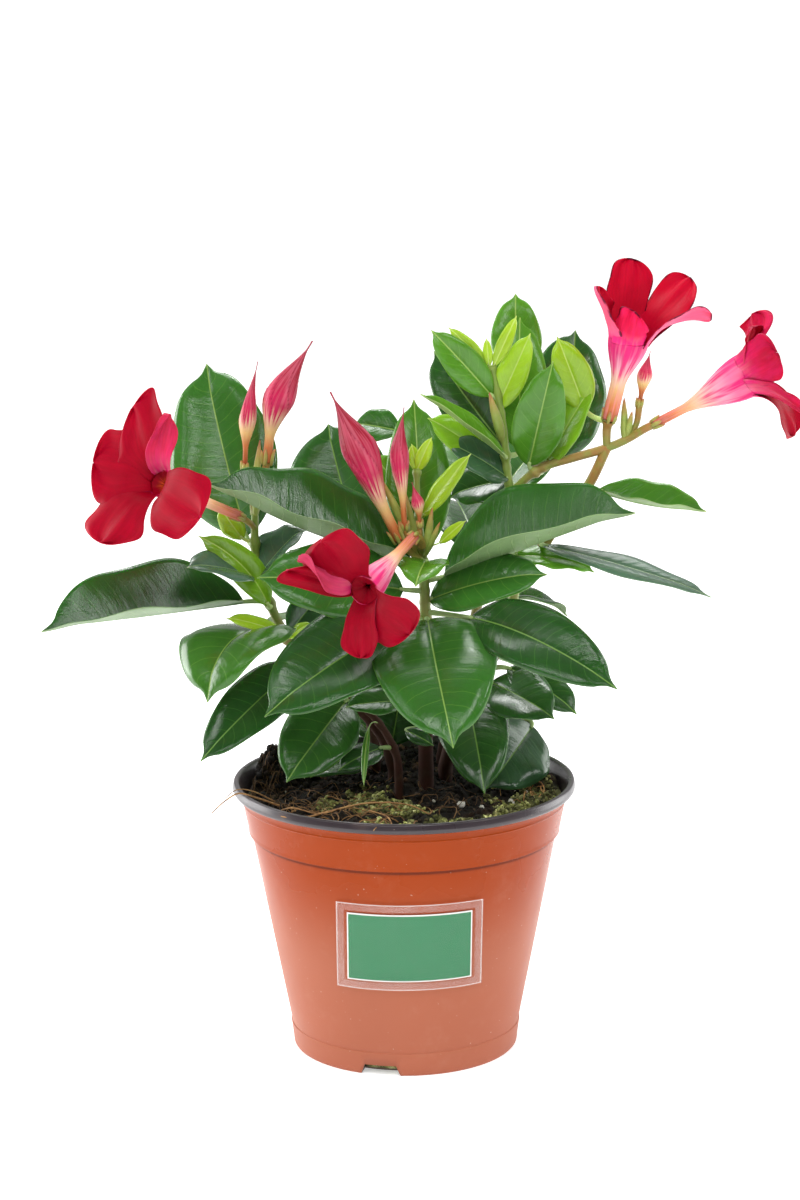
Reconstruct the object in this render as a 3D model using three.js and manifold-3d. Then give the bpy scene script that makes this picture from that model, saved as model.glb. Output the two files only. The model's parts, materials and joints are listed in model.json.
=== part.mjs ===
// A potted mandevilla: a tapered nursery pot filled with soil, a plant label on its wall, and a bushy
// plant of six leafy shoots with four open trumpet blooms and six tall buds.
// Millimetres, +Z up. The origin is the centre of the pot's base.
import * as THREE from 'three';
import { mergeVertices } from 'three/addons/utils/BufferGeometryUtils.js';
import Module from 'manifold-3d';

const wasm = await Module();
wasm.setup();

// ---------------------------------------------------------------- driving dimensions

const GAP = 0.3; // clearance between pieces that touch

const POT = {
  height: 112,
  footRadius: 46,
  footHeight: 10,
  footStep: 0.8, // the body stands out this far from the foot
  bodyTopRadius: 62.4,
  collarBottom: 91,
  collarRadius: 63.4,
  collarTopRadius: 66.6,
  lipBottom: 107.5,
  lipRadius: 70,
  wall: 1.3,
  floor: 2.2,
  sides: 32,
};

const NOTCH = { count: 3, width: 17, topWidth: 13, height: 4.5, inner: 39, turn: -Math.PI / 14 };

const SOIL = { level: 103, roughness: 1.1, bottomGap: 0.3, rings: 6, sides: 32, stemDepth: 22 };

// heaps of soil: [x, y, height, spread]
const HEAPS = [
  [-54, 20, 15, 8],
  [-42, 34, 6, 11],
  [30, -34, 2.5, 14],
  [-20, -38, 2, 12],
  [4, 18, 6, 34],
  [10, 54, 5, 26],
  [57, 14, 7, 9],
];

const LABEL = {
  turn: 2, // degrees from the front
  card: { width: 50.5, bottom: 42.5, top: 72 },
  film: { width: 59, bottom: 39, top: 76.5 },
  thickness: 0.5,
};

const BLADE = { thickness: 0.9, widest: 0.47, stalkHalfWidth: 1.0, stalkThickness: 1.8 };

const PETAL = { thickness: 0.9, flare: 24, rootArc: 52 };

// ---------------------------------------------------------------- stems
// Each shoot's stems: radius at the foot, radius at the top, and the points they pass through.

const STEMS = {
  left: [
    [2.6, 1.5, [[-4, 8, 113], [-8, 8, 126], [-21, 6, 143], [-40, 2, 163], [-47, 0, 171], [-53, -2, 184],
      [-57, -3, 196], [-59, -3, 207], [-59, -1, 222]]],
    [1.2, 1.3, [[-59, -2, 216], [-61, -5, 219], [-64, -7, 221.5]]],
    [1.1, 1.4, [[-59, -1, 220], [-61, 2, 232], [-63, 4, 239]]],
    [1.1, 1.5, [[-59, -1, 220], [-56, 2, 234], [-54, 3, 242]]],
  ],
  centre: [
    [3.2, 1.2, [[9, 0, 113], [9, 0, 128], [9, -1, 145], [9, -3, 166], [9, -4, 184], [8, -3, 203],
      [7, -1, 215], [6, 2, 227], [6, 4, 239]]],
    [1.2, 1.6, [[8, -3, 203], [3, -6, 207], [-1, -8, 212]]],
    [1.2, 1.4, [[8, -3, 203], [4, -6, 209], [1, -7, 216]]],
    [1.1, 1.1, [[8, -3, 204], [7, -7, 211], [7, -8, 218]]],
    [1.3, 1.6, [[8, -3, 205], [7, -11, 213], [5, -14, 215]]],
  ],
  right: [
    [3.0, 1.1, [[17, 12, 113], [20, 12, 124], [29, 12, 145], [40, 12, 166], [45, 12, 184], [46, 11, 204],
      [44, 10, 223], [42, 8, 240], [41, 7, 254], [39, 6, 266], [36, 6, 280]]],
    [2.2, 2.0, [[45, 12, 188], [54, 8, 202], [64, 6, 217], [75, 4, 232], [82, 3, 247]]],
    [1.6, 1.8, [[44, 10, 228], [55, 6, 238], [69, 4, 243], [79, 3, 246], [82, 3, 247]]],
    [1.7, 1.6, [[82, 3, 247], [87, 3, 249], [91, 3, 251], [97, 1, 255], [100, 1, 256.5]]],
    [1.5, 1.9, [[82, 3, 247], [82, 3, 254], [82.5, 2, 258]]],
    [1.1, 1.4, [[91, 3, 251], [94, 4, 257], [95, 4, 264]]],
  ],
  low: [
    [1.8, 1.1, [[-2, -8, 113], [-3, -7, 123], [-10, -5, 136], [-24, -2, 149]]],
  ],
  back_left: [
    [2.4, 1.2, [[-12, 26, 113], [-14, 34, 132], [-17, 40, 160], [-20, 43, 190], [-19, 43, 220], [-12, 40, 246]]],
  ],
  back_right: [
    [2.6, 1.2, [[16, 30, 113], [22, 36, 132], [28, 41, 160], [34, 45, 190], [38, 47, 218], [42, 46, 240]]],
  ],
};

// ---------------------------------------------------------------- leaves
// [blade base, blade tip, the way its upper side faces, width, arch, fold in degrees, sideways bend]

const LEAVES = {
  left: [
    [[-64, -6, 187], [-143, -28, 182], [0, -0.42, 1], 46, 0, 42, 0],
    [[-63, 9, 211], [-80, 34, 278], [-0.25, -1, 0.1], 46, 0.03, 10, 0],
    [[-60, -9, 198], [-84, -34, 208], [0, -0.5, 0.8], 20, 0.04, 10, 0],
    [[-58, -9, 197], [-39, -4, 217], [-0.75, -0.45, 0.65], 26, 0.05, 20, 0],
    [[-54, -8, 186], [-81, -16, 216], [-0.4, -0.5, 0.6], 14, 0.06, 15, 0.08],
    [[-50, -6, 173], [-78, -46, 156], [-0.4, -0.4, 0.85], 50, 0.25, 6, 0],
    [[-48, -12, 175], [-70, -22, 184], [0, -0.6, 0.8], 9, 0.05, 10, 0],
    [[-42, -4, 160], [-80, -46, 132], [-0.3, -1, 0.25], 24, 0.08, 15, 0],
    [[-43, 8, 148], [-63, -8, 133], [0.6, 0.3, 0.6], 9, 0.03, 10, 0],
    [[-46, 4, 172], [-32, 12, 188], [0.4, -0.8, 0.3], 16, 0.05, 10, 0],
    [[-64, -2, 212], [-73, -2, 225], [-0.3, -1, 0.2], 10, 0.05, 10, 0],
    [[-46, -2, 171], [-37, -6, 178], [0, -0.6, 0.8], 6, 0.05, 10, 0],
    [[-30, 4, 141], [-43, 0, 132], [-0.3, -1, 0.3], 9, 0.05, 12, 0],
  ],
  centre: [
    [[10, -10, 180], [19, -72, 144], [-0.1, -0.5, 0.85], 50, 0.12, 8, 0],
    [[1, -12, 180], [-54, -60, 154], [-0.15, -0.9, 0.6], 40, 0.08, 12, 0],
    [[0, -8, 192], [-57, -28, 202], [0, -0.9, 0.5], 33, 0.04, 12, 0],
    [[10, -6, 203], [5, -40, 201], [0, -0.4, 1], 21, 0.08, 12, 0],
    [[3, -2, 203], [-76, -22, 240], [0, -0.38, 1], 50, -0.05, 42, 0],
    [[11, -4, 187], [57, -20, 201], [0, -0.8, 0.8], 27, 0.05, 15, 0],
    [[27, -20, 183], [83, -62, 164], [0.1, -0.9, 0.5], 29, 0.14, 12, 0],
    [[17, -2, 196], [91, -22, 227], [0, -0.38, 1], 52, 0, 42, 0],
    [[7, 4, 204], [5, 26, 264], [0, -1, 0.15], 27, 0.03, 10, 0],
    [[6, 4, 238], [4, 4, 249], [0, -1, 0.2], 5, 0.05, 10, 0],
    [[6, 4, 238], [12, 2, 252], [0, -1, 0.2], 6, 0.05, 10, 0],
    [[8, -4, 221], [27, -14, 248], [-0.3, -0.8, 0.5], 9, 0.02, 10, 0],
    [[15, -8, 211], [25, -14, 221], [0, -0.8, 0.5], 5, 0.02, 10, 0],
    [[0, 14, 228], [-11, 18, 242], [0, -1, 0.2], 14, 0.05, 10, 0],
    [[-1, -8, 146], [-23, -20, 147], [0, -0.6, 0.8], 15, 0.03, 10, 0],
    [[1, -10, 134], [12, -18, 130], [0, -1, 0.6], 7, 0.06, 10, 0],
  ],
  right: [
    [[48, 12, 245], [48, 26, 297], [-0.1, -1, 0.15], 24, 0.03, 10, 0],
    [[38, 8, 262], [51.5, 6, 293], [-0.2, -1, 0.1], 13, 0.05, 10, 0],
    [[73.5, 6, 262], [62, 2, 292], [0, -1, 0.1], 16, 0.05, 10, 0],
    [[59, 20, 238], [72, 40, 290], [0.3, -1, 0], 36, 0.05, 10, 0],
    [[58, 8, 240], [76, 4, 272], [-0.5, -0.8, 0.2], 17, 0.03, 20, 0],
    [[51, 5, 240], [60, -5, 283], [0, -1, 0.3], 22, 0.05, 20, 0],
    [[42, 14, 245], [13, 30, 283], [-0.3, -0.9, 0.4], 25, 0.05, 12, 0],
    [[36, 6, 268], [12, 2, 295], [-0.2, -1, 0.3], 15, 0.05, 12, 0],
    [[34, 6, 281], [19, 2, 296], [0, -1, 0.4], 6, 0, 10, 0],
    [[35, 6, 280], [34, 6, 291], [0, -1, 0.2], 4, 0.05, 10, 0],
    [[37, 6, 280], [46, 6, 300], [0, -1, 0.2], 6, 0.05, 10, 0],
    [[41, 4, 244], [8, -12, 272], [0, -0.5, 1], 12, 0, 40, 0],
    [[40, 12, 240], [11, 2, 260], [0, -0.8, 0.6], 18, 0, 10, 0],
    [[43, 8, 234], [18, 2, 250], [0, -0.6, 0.8], 20, 0.05, 10, 0],
    [[42, 20, 231], [19, 18, 225], [0, -0.5, 0.8], 24, 0.05, 10, 0],
    [[79, 2, 230], [120, -18, 226], [0, -0.38, 1], 21, -0.05, 40, 0],
    [[57, 0, 208], [121, -36, 195], [0, -0.2, 1], 18, 0.02, 5, 0],
    [[45, 4, 203], [77, -6, 199], [0, -0.3, 1], 20, 0.06, 10, 0],
    [[43, 10, 155], [70, -10, 141], [0.3, -0.8, 0.6], 18, 0.06, 10, 0],
    [[36, 10, 149], [60, -20, 142], [0.3, -1, 0.4], 26, 0.06, 10, 0],
    [[25, 10, 146], [32, -35, 115], [0, -0.8, 0.6], 30, 0.1, 10, 0],
    [[53, 20, 128], [34, -10, 110], [0.3, -1, 0.5], 32, 0.06, 10, 0],
    [[48, 28, 272], [46.5, 34, 305.5], [-0.1, -1, 0.15], 21, 0.03, 10, 0],
  ],
  low: [
    [[-23, -2, 145], [-47, -30, 119], [-0.3, -1, 0.3], 31, 0.05, 12, 0],
    [[-9, -10, 127], [-26, -24, 122], [-0.2, -0.8, 0.7], 13, 0.06, 10, 0],
    [[-14, -16, 137], [-16, -32, 117], [-0.3, -1, 0.5], 3, 0.06, 10, 0],
  ],
  back_left: [
    [[-21, 38, 212], [-31, 50, 250], [-0.3, -1, 0.2], 44, 0.03, 10, 0],
    [[-1, 36, 249], [-20, 44, 251], [0, -0.8, 0.6], 16, 0.03, 15, 0],
    [[-17, 42, 150], [-44, 92, 128], [-0.3, 0.4, 1], 36, 0.12, 12, 0],
    [[-12, 44, 152], [6, 100, 130], [0.1, 0.5, 1], 38, 0.12, 12, 0],
    [[-22, 46, 186], [-38, 98, 182], [-0.2, 0.2, 1], 36, 0.1, 20, 0],
    [[-17, 47, 190], [10, 96, 202], [0.1, -0.2, 1], 34, 0.1, 20, 0],
    [[-24, 42, 168], [-60, 56, 162], [0, 0.1, 1], 26, 0.1, 14, 0],
    [[-20, 47, 214], [-28, 92, 232], [0, -0.4, 1], 32, 0.08, 20, 0],
    [[-10, 34, 118], [-34, 80, 112], [-0.1, 0.1, 1], 28, 0.14, 12, 0],
    [[-16, 19, 115], [-38, -8, 115], [0, -0.6, 0.8], 20, 0.08, 10, 0],
    [[-5, 36, 116], [1, 50, 154], [0, -1, 0.2], 30, 0.05, 10, 0],
  ],
  back_right: [
    [[29, 43, 150], [62, 88, 128], [0.2, 0.4, 1], 36, 0.12, 12, 0],
    [[34, 49, 190], [68, 88, 186], [0.2, 0.1, 1], 34, 0.1, 20, 0],
    [[32, 49, 194], [22, 104, 208], [-0.1, -0.2, 1], 34, 0.1, 20, 0],
    [[34, 42, 176], [70, 54, 168], [0.1, 0, 1], 28, 0.1, 14, 0],
    [[40, 50, 218], [62, 92, 234], [0.1, -0.4, 1], 30, 0.08, 20, 0],
    [[36, 50, 216], [20, 84, 238], [-0.1, -0.5, 1], 26, 0.06, 15, 0],
    [[20, 38, 118], [48, 78, 112], [0.1, 0.1, 1], 28, 0.14, 12, 0],
  ],
};

// ---------------------------------------------------------------- young flower buds on the shoots
// [base, tip, radius]

const YOUNG_BUDS = {
  left: [
    [[-60, 1, 221], [-57, 10, 250], 2],
    [[-59, -1, 220], [-57, -6, 237], 1.6],
  ],
  centre: [
    [[6, -3, 207], [-9, -2, 237], 2],
    [[7, -3, 206], [1, -1, 231], 1.7],
    [[9, -5, 205], [12, -12, 226], 1.8],
    [[9, -5, 205], [15, -11, 220], 1.5],
  ],
  right: [
    [[41, 8, 248], [35, 1, 270], 2.2],
    [[41, 7, 250], [37, 3, 262], 1.6],
    [[89, 3, 250], [89, 5, 267], 1.6],
    [[90, 3, 251], [92, 2, 262], 1.4],
  ],
};

// ---------------------------------------------------------------- tall buds
// [seat, points to the tip, widest radius, where it is widest, from 0 at the seat to 1 at the tip]

const BUDS = {
  bud_left_slim: [[[-63, 4, 239.6], [-62, 4, 255], [-60, 3, 269], [-57, 2, 283]], 3.4, 0.45],
  bud_left_full: [[[-54, 3, 242.3], [-52, 2, 257], [-48, 0, 270], [-35, -5, 292]], 6.2, 0.5],
  bud_centre_full: [[[-1.3, -8.2, 212.3], [-9, -10, 229], [-16, -12, 248], [-28, -14, 273]], 7, 0.62],
  bud_centre_slim: [[[1, -7, 216.6], [0, -8, 233], [-1, -8, 248], [1, -9, 266]], 3.8, 0.6],
  bud_centre_short: [[[7, -8.2, 218.3], [6.4, -9, 226], [4, -10, 236]], 2.6, 0.5],
  bud_right_young: [[[95, 4, 264.3], [96.5, 3, 274], [99, 2, 286]], 3, 0.55],
};

// ---------------------------------------------------------------- open blooms
// seat, mouth, tube and mouth radius, where the funnel opens, the direction of petal angle 0, and the
// petals as [angle, length, width, spread, reflex, cup, twist, swirl, slant]

const BLOOMS = {
  bloom_left: {
    seat: [-64.5, -7.5, 222.1], mouth: [-94, -40, 242], tube: 2, mouthRadius: 5.5, opens: 0.5, zero: [1, 0, 0],
    petals: [
      [101, 28, 27, 76, 0, 0.05, 0, -0.04, -0.3],
      [155, 27, 31, 78, 5, 0.02, 0, 0.02, -0.12],
      [223, 30, 28, 76, 12, -0.08, 0, 0.08, -0.15],
      [318, 36, 28, 86, 8, 0.06, 0, 0.05, 0],
      [62, 25, 11, 66, 8, 0.3, 115, -0.12, 0],
    ],
  },
  bloom_front: {
    seat: [4.6, -15, 214.9], mouth: [-15, -56, 202], tube: 2.2, mouthRadius: 6.5, opens: 0.4, zero: [1, 0, 0],
    petals: [
      [113, 28, 31, 62, 12, -0.12, 0, 0, -0.2],
      [138, 26, 16, 60, 8, 0.1, 150, 0.05, 0],
      [154, 28, 11, 60, 0, 0.25, 30, 0, 0.25],
      [276, 22, 15, 70, 10, 0.1, 0, 0, 0],
      [332, 21, 26, 84, 10, 0.03, 0, 0.02, 0.1],
    ],
  },
  bloom_top: {
    seat: [82.9, 1.5, 259.1], mouth: [90, -5, 292], tube: 3, mouthRadius: 8, opens: 0.55, zero: [1, 0, 0],
    petals: [
      [100, 30, 17.9, 22, 8, 0.05, 0, 0.02, 0],
      [36, 32, 21, 46, 0, 0.08, 0, 0.08, 0.05],
      [2, 29, 14, 50, 44, 0.25, -50, 0.12, 0],
      [196, 23, 15, 32, -10, 0.4, -40, -0.05, 0.2],
      [262, 15, 13, 10, -30, 0.6, 0, 0, -0.2],
    ],
  },
  bloom_right: {
    seat: [100.8, 0.9, 256.9], mouth: [137, -5, 277], tube: 1.8, mouthRadius: 9, opens: 0.42, zero: [0, -1, 0],
    petals: [
      [280, 15, 13, 16, 60, 0.2, -40, 0, 0],
      [244, 20, 17.5, 18, 75, 0.1, 75, 0, 0],
      [338, 20, 20, 30, 10, 0.1, 0, 0.05, 0],
      [42, 23, 17, 52, 8, 0.15, 0, 0.1, 0],
      [96, 26, 20, 92, 10, 0.2, 30, 0.1, 0],
    ],
  },
};

// ---------------------------------------------------------------- small helpers

const vector = (p) => new THREE.Vector3(...p);
const radians = THREE.MathUtils.degToRad;
const smooth = (x) => THREE.MathUtils.smoothstep(x, 0, 1);
const scaled = (v, k) => v.clone().multiplyScalar(k);
const sum = (...vs) => vs.reduce((total, v) => total.add(v), new THREE.Vector3());

// A geometry from points and triangles.
function geometryOf(points, triangles) {
  const geometry = new THREE.BufferGeometry();
  geometry.setAttribute('position', new THREE.Float32BufferAttribute(points.flatMap((p) => p.toArray()), 3));
  geometry.setIndex(triangles);
  return geometry;
}

// A closed geometry as a solid that can be joined and cut.
function solidOf(geometry) {
  const bare = geometry.clone();
  bare.deleteAttribute('normal');
  bare.deleteAttribute('uv');
  const merged = mergeVertices(bare, 1e-4);
  return new wasm.Manifold(new wasm.Mesh({
    numProp: 3,
    vertProperties: merged.attributes.position.array,
    triVerts: new Uint32Array(merged.index.array),
  }));
}

function geometryOfSolid(solid) {
  const mesh = solid.getMesh();
  const geometry = new THREE.BufferGeometry();
  geometry.setAttribute('position', new THREE.Float32BufferAttribute(mesh.vertProperties, 3));
  geometry.setIndex(Array.from(mesh.triVerts));
  return geometry;
}

const joined = (geometries) => geometries.map(solidOf).reduce((whole, piece) => whole.add(piece));

// A closed sheet between an upper and a lower grid of points, split alike on both faces.
function sheet(upper, lower) {
  const rows = upper.length;
  const columns = upper[0].length;
  const points = [...upper.flat(), ...lower.flat()];
  const below = rows * columns;
  const at = (i, j) => i * columns + j;
  const triangles = [];
  for (let i = 0; i < rows - 1; i += 1) {
    for (let j = 0; j < columns - 1; j += 1) {
      const [a, b, c, d] = [at(i, j), at(i, j + 1), at(i + 1, j + 1), at(i + 1, j)];
      triangles.push(a, b, c, a, c, d);
      triangles.push(below + a, below + c, below + b, below + a, below + d, below + c);
    }
  }
  const edge = [];
  for (let j = 0; j < columns; j += 1) edge.push(at(0, j));
  for (let i = 1; i < rows; i += 1) edge.push(at(i, columns - 1));
  for (let j = columns - 2; j >= 0; j -= 1) edge.push(at(rows - 1, j));
  for (let i = rows - 2; i > 0; i -= 1) edge.push(at(i, 0));
  edge.forEach((a, k) => {
    const b = edge[(k + 1) % edge.length];
    triangles.push(a, below + a, below + b, a, below + b, b);
  });
  return geometryOf(points, triangles);
}

// A closed tube through rings of points, each ring turning left-handed about the way it runs.
function loft(rings) {
  const sides = rings[0].length;
  const points = rings.flat();
  const triangles = [];
  for (let i = 0; i < rings.length - 1; i += 1) {
    for (let j = 0; j < sides; j += 1) {
      const k = (j + 1) % sides;
      const [a, b, c, d] = [i * sides + j, i * sides + k, (i + 1) * sides + k, (i + 1) * sides + j];
      triangles.push(a, b, c, a, c, d);
    }
  }
  const last = (rings.length - 1) * sides;
  for (let j = 1; j < sides - 1; j += 1) {
    triangles.push(0, j + 1, j, last, last + j, last + j + 1);
  }
  return geometryOf(points, triangles);
}

// A round tube along a curve, whose radius is a function of the distance along it from 0 to 1. Its
// sides can wind round the curve by turn, and it can start with a straight root of length drop.
function tube(curve, steps, sides, radius, { turn = 0, drop = 0 } = {}) {
  const frames = curve.computeFrenetFrames(steps, false);
  const rings = [];
  for (let i = 0; i <= steps; i += 1) {
    const t = i / steps;
    const centre = curve.getPointAt(t);
    const ring = [];
    for (let j = 0; j < sides; j += 1) {
      const angle = (j / sides) * 2 * Math.PI + turn * t;
      ring.push(sum(
        centre,
        scaled(frames.normals[i], radius(t) * Math.cos(angle)),
        scaled(frames.binormals[i], radius(t) * Math.sin(angle)),
      ));
    }
    rings.push(ring);
  }
  if (drop) rings.unshift(rings[0].map((p) => p.clone().setZ(p.z - drop)));
  return loft(rings);
}

// ---------------------------------------------------------------- pot

const wallAt = (z) => POT.footRadius + POT.footStep
  + ((POT.bodyTopRadius - POT.footRadius - POT.footStep) * (z - POT.footHeight)) / (POT.collarBottom - POT.footHeight);
const collarAt = (z) => POT.collarRadius
  + ((POT.collarTopRadius - POT.collarRadius) * (z - POT.collarBottom)) / (POT.lipBottom - POT.collarBottom);

function lathe(profile, sides) {
  return new THREE.LatheGeometry(profile.map(([r, z]) => new THREE.Vector2(r, z)), sides).rotateX(Math.PI / 2);
}

function pot() {
  const { height, wall, lipRadius, lipBottom, footRadius, footHeight, collarBottom } = POT;
  const footTop = footRadius + 1.2;
  const body = lathe([
    [0, 0],
    [footRadius - 0.8, 0],
    [footRadius, 0.8],
    [footTop, footHeight - 0.2],
    [wallAt(footHeight), footHeight],
    [wallAt(collarBottom - 0.8), collarBottom - 0.8],
    [collarAt(collarBottom), collarBottom],
    [collarAt(lipBottom), lipBottom],
    [lipRadius, lipBottom + 0.6],
    [lipRadius - 0.4, height - 0.6],
    [lipRadius - 1.4, height],
    [lipRadius - 2.6, height - 0.3],
    [collarAt(lipBottom) - wall, lipBottom],
    [collarAt(collarBottom) - wall, collarBottom],
    [wallAt(footHeight) - wall, footHeight],
    [footRadius - wall, POT.floor],
    [0, POT.floor],
  ], POT.sides);
  const trapezoid = new THREE.Shape([
    new THREE.Vector2(-NOTCH.width / 2, -1),
    new THREE.Vector2(NOTCH.width / 2, -1),
    new THREE.Vector2(NOTCH.topWidth / 2, NOTCH.height),
    new THREE.Vector2(-NOTCH.topWidth / 2, NOTCH.height),
  ]);
  let solid = solidOf(body);
  for (let k = 0; k < NOTCH.count; k += 1) {
    const cutter = new THREE.ExtrudeGeometry(trapezoid, { depth: footRadius, bevelEnabled: false })
      .rotateX(Math.PI / 2)
      .translate(0, -NOTCH.inner, 0)
      .rotateZ((k / NOTCH.count) * 2 * Math.PI + NOTCH.turn);
    solid = solid.subtract(solidOf(cutter));
  }
  return geometryOfSolid(solid);
}

// ---------------------------------------------------------------- soil

function soilHeight(x, y) {
  const waves = Math.sin(x * 0.31 + 1.3) * Math.cos(y * 0.27) + 0.6 * Math.sin(x * 0.52 - y * 0.44 + 0.7);
  const heaps = HEAPS.reduce(
    (total, [hx, hy, height, spread]) => total + height * Math.exp(-((x - hx) ** 2 + (y - hy) ** 2) / spread ** 2),
    0,
  );
  return SOIL.level + SOIL.roughness * waves + heaps;
}

function soil() {
  const { rings, sides, bottomGap } = SOIL;
  const inner = (z) => (z > POT.collarBottom ? collarAt(z) : wallAt(z)) - POT.wall - bottomGap;
  const edge = inner(SOIL.level);
  const points = [];
  const triangles = [];
  const ring = (radius, height) => {
    for (let j = 0; j < sides; j += 1) {
      const angle = (j / sides) * 2 * Math.PI;
      const [x, y] = [radius * Math.cos(angle), radius * Math.sin(angle)];
      points.push(new THREE.Vector3(x, y, height(x, y)));
    }
  };
  ring(POT.footRadius - POT.wall - 0.7 - bottomGap, () => POT.floor + bottomGap);
  ring(inner(POT.footHeight) - 0.2, () => POT.footHeight);
  ring(inner(POT.collarBottom) - 1.2, () => POT.collarBottom);
  for (let k = rings; k > 0; k -= 1) ring((edge * k) / rings, soilHeight);
  const count = points.length / sides;
  for (let i = 0; i < count - 1; i += 1) {
    for (let j = 0; j < sides; j += 1) {
      const k = (j + 1) % sides;
      const [a, b, c, d] = [i * sides + j, i * sides + k, (i + 1) * sides + k, (i + 1) * sides + j];
      triangles.push(a, b, c, a, c, d);
    }
  }
  points.push(new THREE.Vector3(0, 0, soilHeight(0, 0)), new THREE.Vector3(0, 0, POT.floor + bottomGap));
  const [top, bottom] = [points.length - 2, points.length - 1];
  for (let j = 0; j < sides; j += 1) {
    const k = (j + 1) % sides;
    triangles.push((count - 1) * sides + j, (count - 1) * sides + k, top, k, j, bottom);
  }
  let solid = solidOf(geometryOf(points, triangles));
  for (const stems of Object.values(STEMS)) {
    const [foot, , [[x, y]]] = stems[0];
    const depth = SOIL.stemDepth + 1;
    const radius = (foot + GAP) / Math.cos(Math.PI / 8);
    const hole = new THREE.CylinderGeometry(radius, radius, depth + 20, 8)
      .rotateX(Math.PI / 2)
      .translate(x, y, SOIL.level - depth / 2 + 10);
    solid = solid.subtract(solidOf(hole));
  }
  return geometryOfSolid(solid);
}

// ---------------------------------------------------------------- label on the pot's wall

// A piece of the cone that runs along the wall, lifted off it by lift.
function labelPiece({ width, bottom, top }, lift) {
  const [rows, columns] = [1, 8];
  const grid = (offset) => {
    const lines = [];
    for (let i = 0; i <= rows; i += 1) {
      const z = bottom + ((top - bottom) * i) / rows;
      const radius = wallAt(z) + offset;
      const line = [];
      for (let j = 0; j <= columns; j += 1) {
        const angle = radians(LABEL.turn - 90) + (width / wallAt(z)) * (j / columns - 0.5);
        line.push(new THREE.Vector3(radius * Math.cos(angle), radius * Math.sin(angle), z));
      }
      lines.push(line);
    }
    return lines;
  };
  return sheet(grid(lift + LABEL.thickness), grid(lift));
}

// ---------------------------------------------------------------- leaves and stems

// Half the blade's width along the midrib as a share of its widest: a broad oval with a short point.
function bladeShape(s) {
  const oval = Math.sin(Math.PI * Math.min(s / 0.97, 1) ** (Math.log(0.5) / Math.log(BLADE.widest))) ** 0.66;
  const point = 0.13 * (1 - s) ** 0.6 * smooth((s - 0.6) / 0.28);
  return (oval ** 4 + point ** 4) ** 0.25;
}

function stemCurve(points) {
  return new THREE.CatmullRomCurve3(points.map(vector));
}

// Where a leaf stalk leaves its shoot: the nearest place on a stem that isn't above the blade's base.
function stalkRoot(base, curves) {
  let root = null;
  let best = Infinity;
  for (const curve of curves) {
    for (let i = 0; i <= 60; i += 1) {
      const point = curve.getPointAt(i / 60);
      const cost = point.distanceTo(base) + 1.2 * Math.max(0, point.z - base.z + 1);
      if (cost < best) [root, best] = [point, cost];
    }
  }
  return root;
}

// A leaf: a short stalk out of the stem, then a blade whose midrib arches from base to tip and whose
// halves fold up from it like an open book.
function leaf([base, tip, face, width, arch, fold, bend], curves) {
  const [b, t] = [vector(base), vector(tip)];
  const length = b.distanceTo(t);
  const along = t.clone().sub(b).divideScalar(length);
  const up = vector(face).addScaledVector(along, -vector(face).dot(along)).normalize();
  const across = along.clone().cross(up);
  const [rows, columns] = width >= 44 ? [6, 4] : width >= 24 ? [5, 2] : width >= 12 ? [4, 2] : [3, 1];
  const angle = radians(fold);
  const upper = [];
  const lower = [];
  const row = (centre, heading, reach, opening, thickness) => {
    const side = heading.clone().cross(up).normalize();
    const rise = side.clone().cross(heading);
    const line = [[], []];
    for (let j = 0; j <= columns; j += 1) {
      const v = (2 * j) / columns - 1;
      const point = sum(
        centre,
        scaled(side, reach * v * Math.cos(opening)),
        scaled(rise, reach * Math.abs(v) * Math.sin(opening)),
      );
      line[0].push(point.clone().addScaledVector(rise, thickness / 2));
      line[1].push(point.clone().addScaledVector(rise, -thickness / 2));
    }
    upper.push(line[0]);
    lower.push(line[1]);
  };
  const root = stalkRoot(b, curves);
  const first = sum(along, scaled(up, 4 * arch), scaled(across, 4 * bend)).normalize();
  const before = b.clone().addScaledVector(first, -0.4 * root.distanceTo(b));
  const stalk = Math.min(BLADE.stalkHalfWidth, width / 8);
  row(root, before.clone().sub(root).normalize(), stalk, 0, Math.min(BLADE.stalkThickness, 2 * stalk));
  if (width >= 44) row(before, b.clone().sub(root).normalize(), stalk, 0, Math.min(BLADE.stalkThickness, 2 * stalk));
  for (let i = 0; i <= rows; i += 1) {
    const s = i / rows;
    const bow = 4 * s * (1 - s);
    const slope = 4 * (1 - 2 * s);
    const centre = sum(b, scaled(along, length * s), scaled(up, arch * length * bow), scaled(across, bend * length * bow));
    const heading = sum(along, scaled(up, arch * slope), scaled(across, bend * slope)).normalize();
    const reach = Math.max((width / 2) * bladeShape(s), i === rows ? 0.35 : stalk);
    row(centre, heading, reach, angle, BLADE.thickness / Math.cos(angle));
  }
  return sheet(upper, lower);
}

function youngBud([base, tip, radius]) {
  const curve = new THREE.LineCurve3(vector(base), vector(tip));
  return tube(curve, 3, 4, (t) => [0.55, 1, 0.75, 0.2][Math.round(3 * t)] * radius);
}

function shoot(name) {
  const curves = STEMS[name].map(([, , points]) => stemCurve(points));
  const pieces = STEMS[name].map(([foot, top, points], k) => tube(
    curves[k],
    Math.max(3, Math.round(0.75 * points.length)),
    k === 0 ? 6 : 4,
    (t) => foot + (top - foot) * t,
    { drop: k === 0 ? points[0][2] - SOIL.level + SOIL.stemDepth : 0 },
  ));
  for (const row of LEAVES[name]) pieces.push(leaf(row, curves));
  for (const bud of YOUNG_BUDS[name] ?? []) pieces.push(youngBud(bud));
  return geometryOfSolid(joined(pieces));
}

// ---------------------------------------------------------------- buds and blooms

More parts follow.
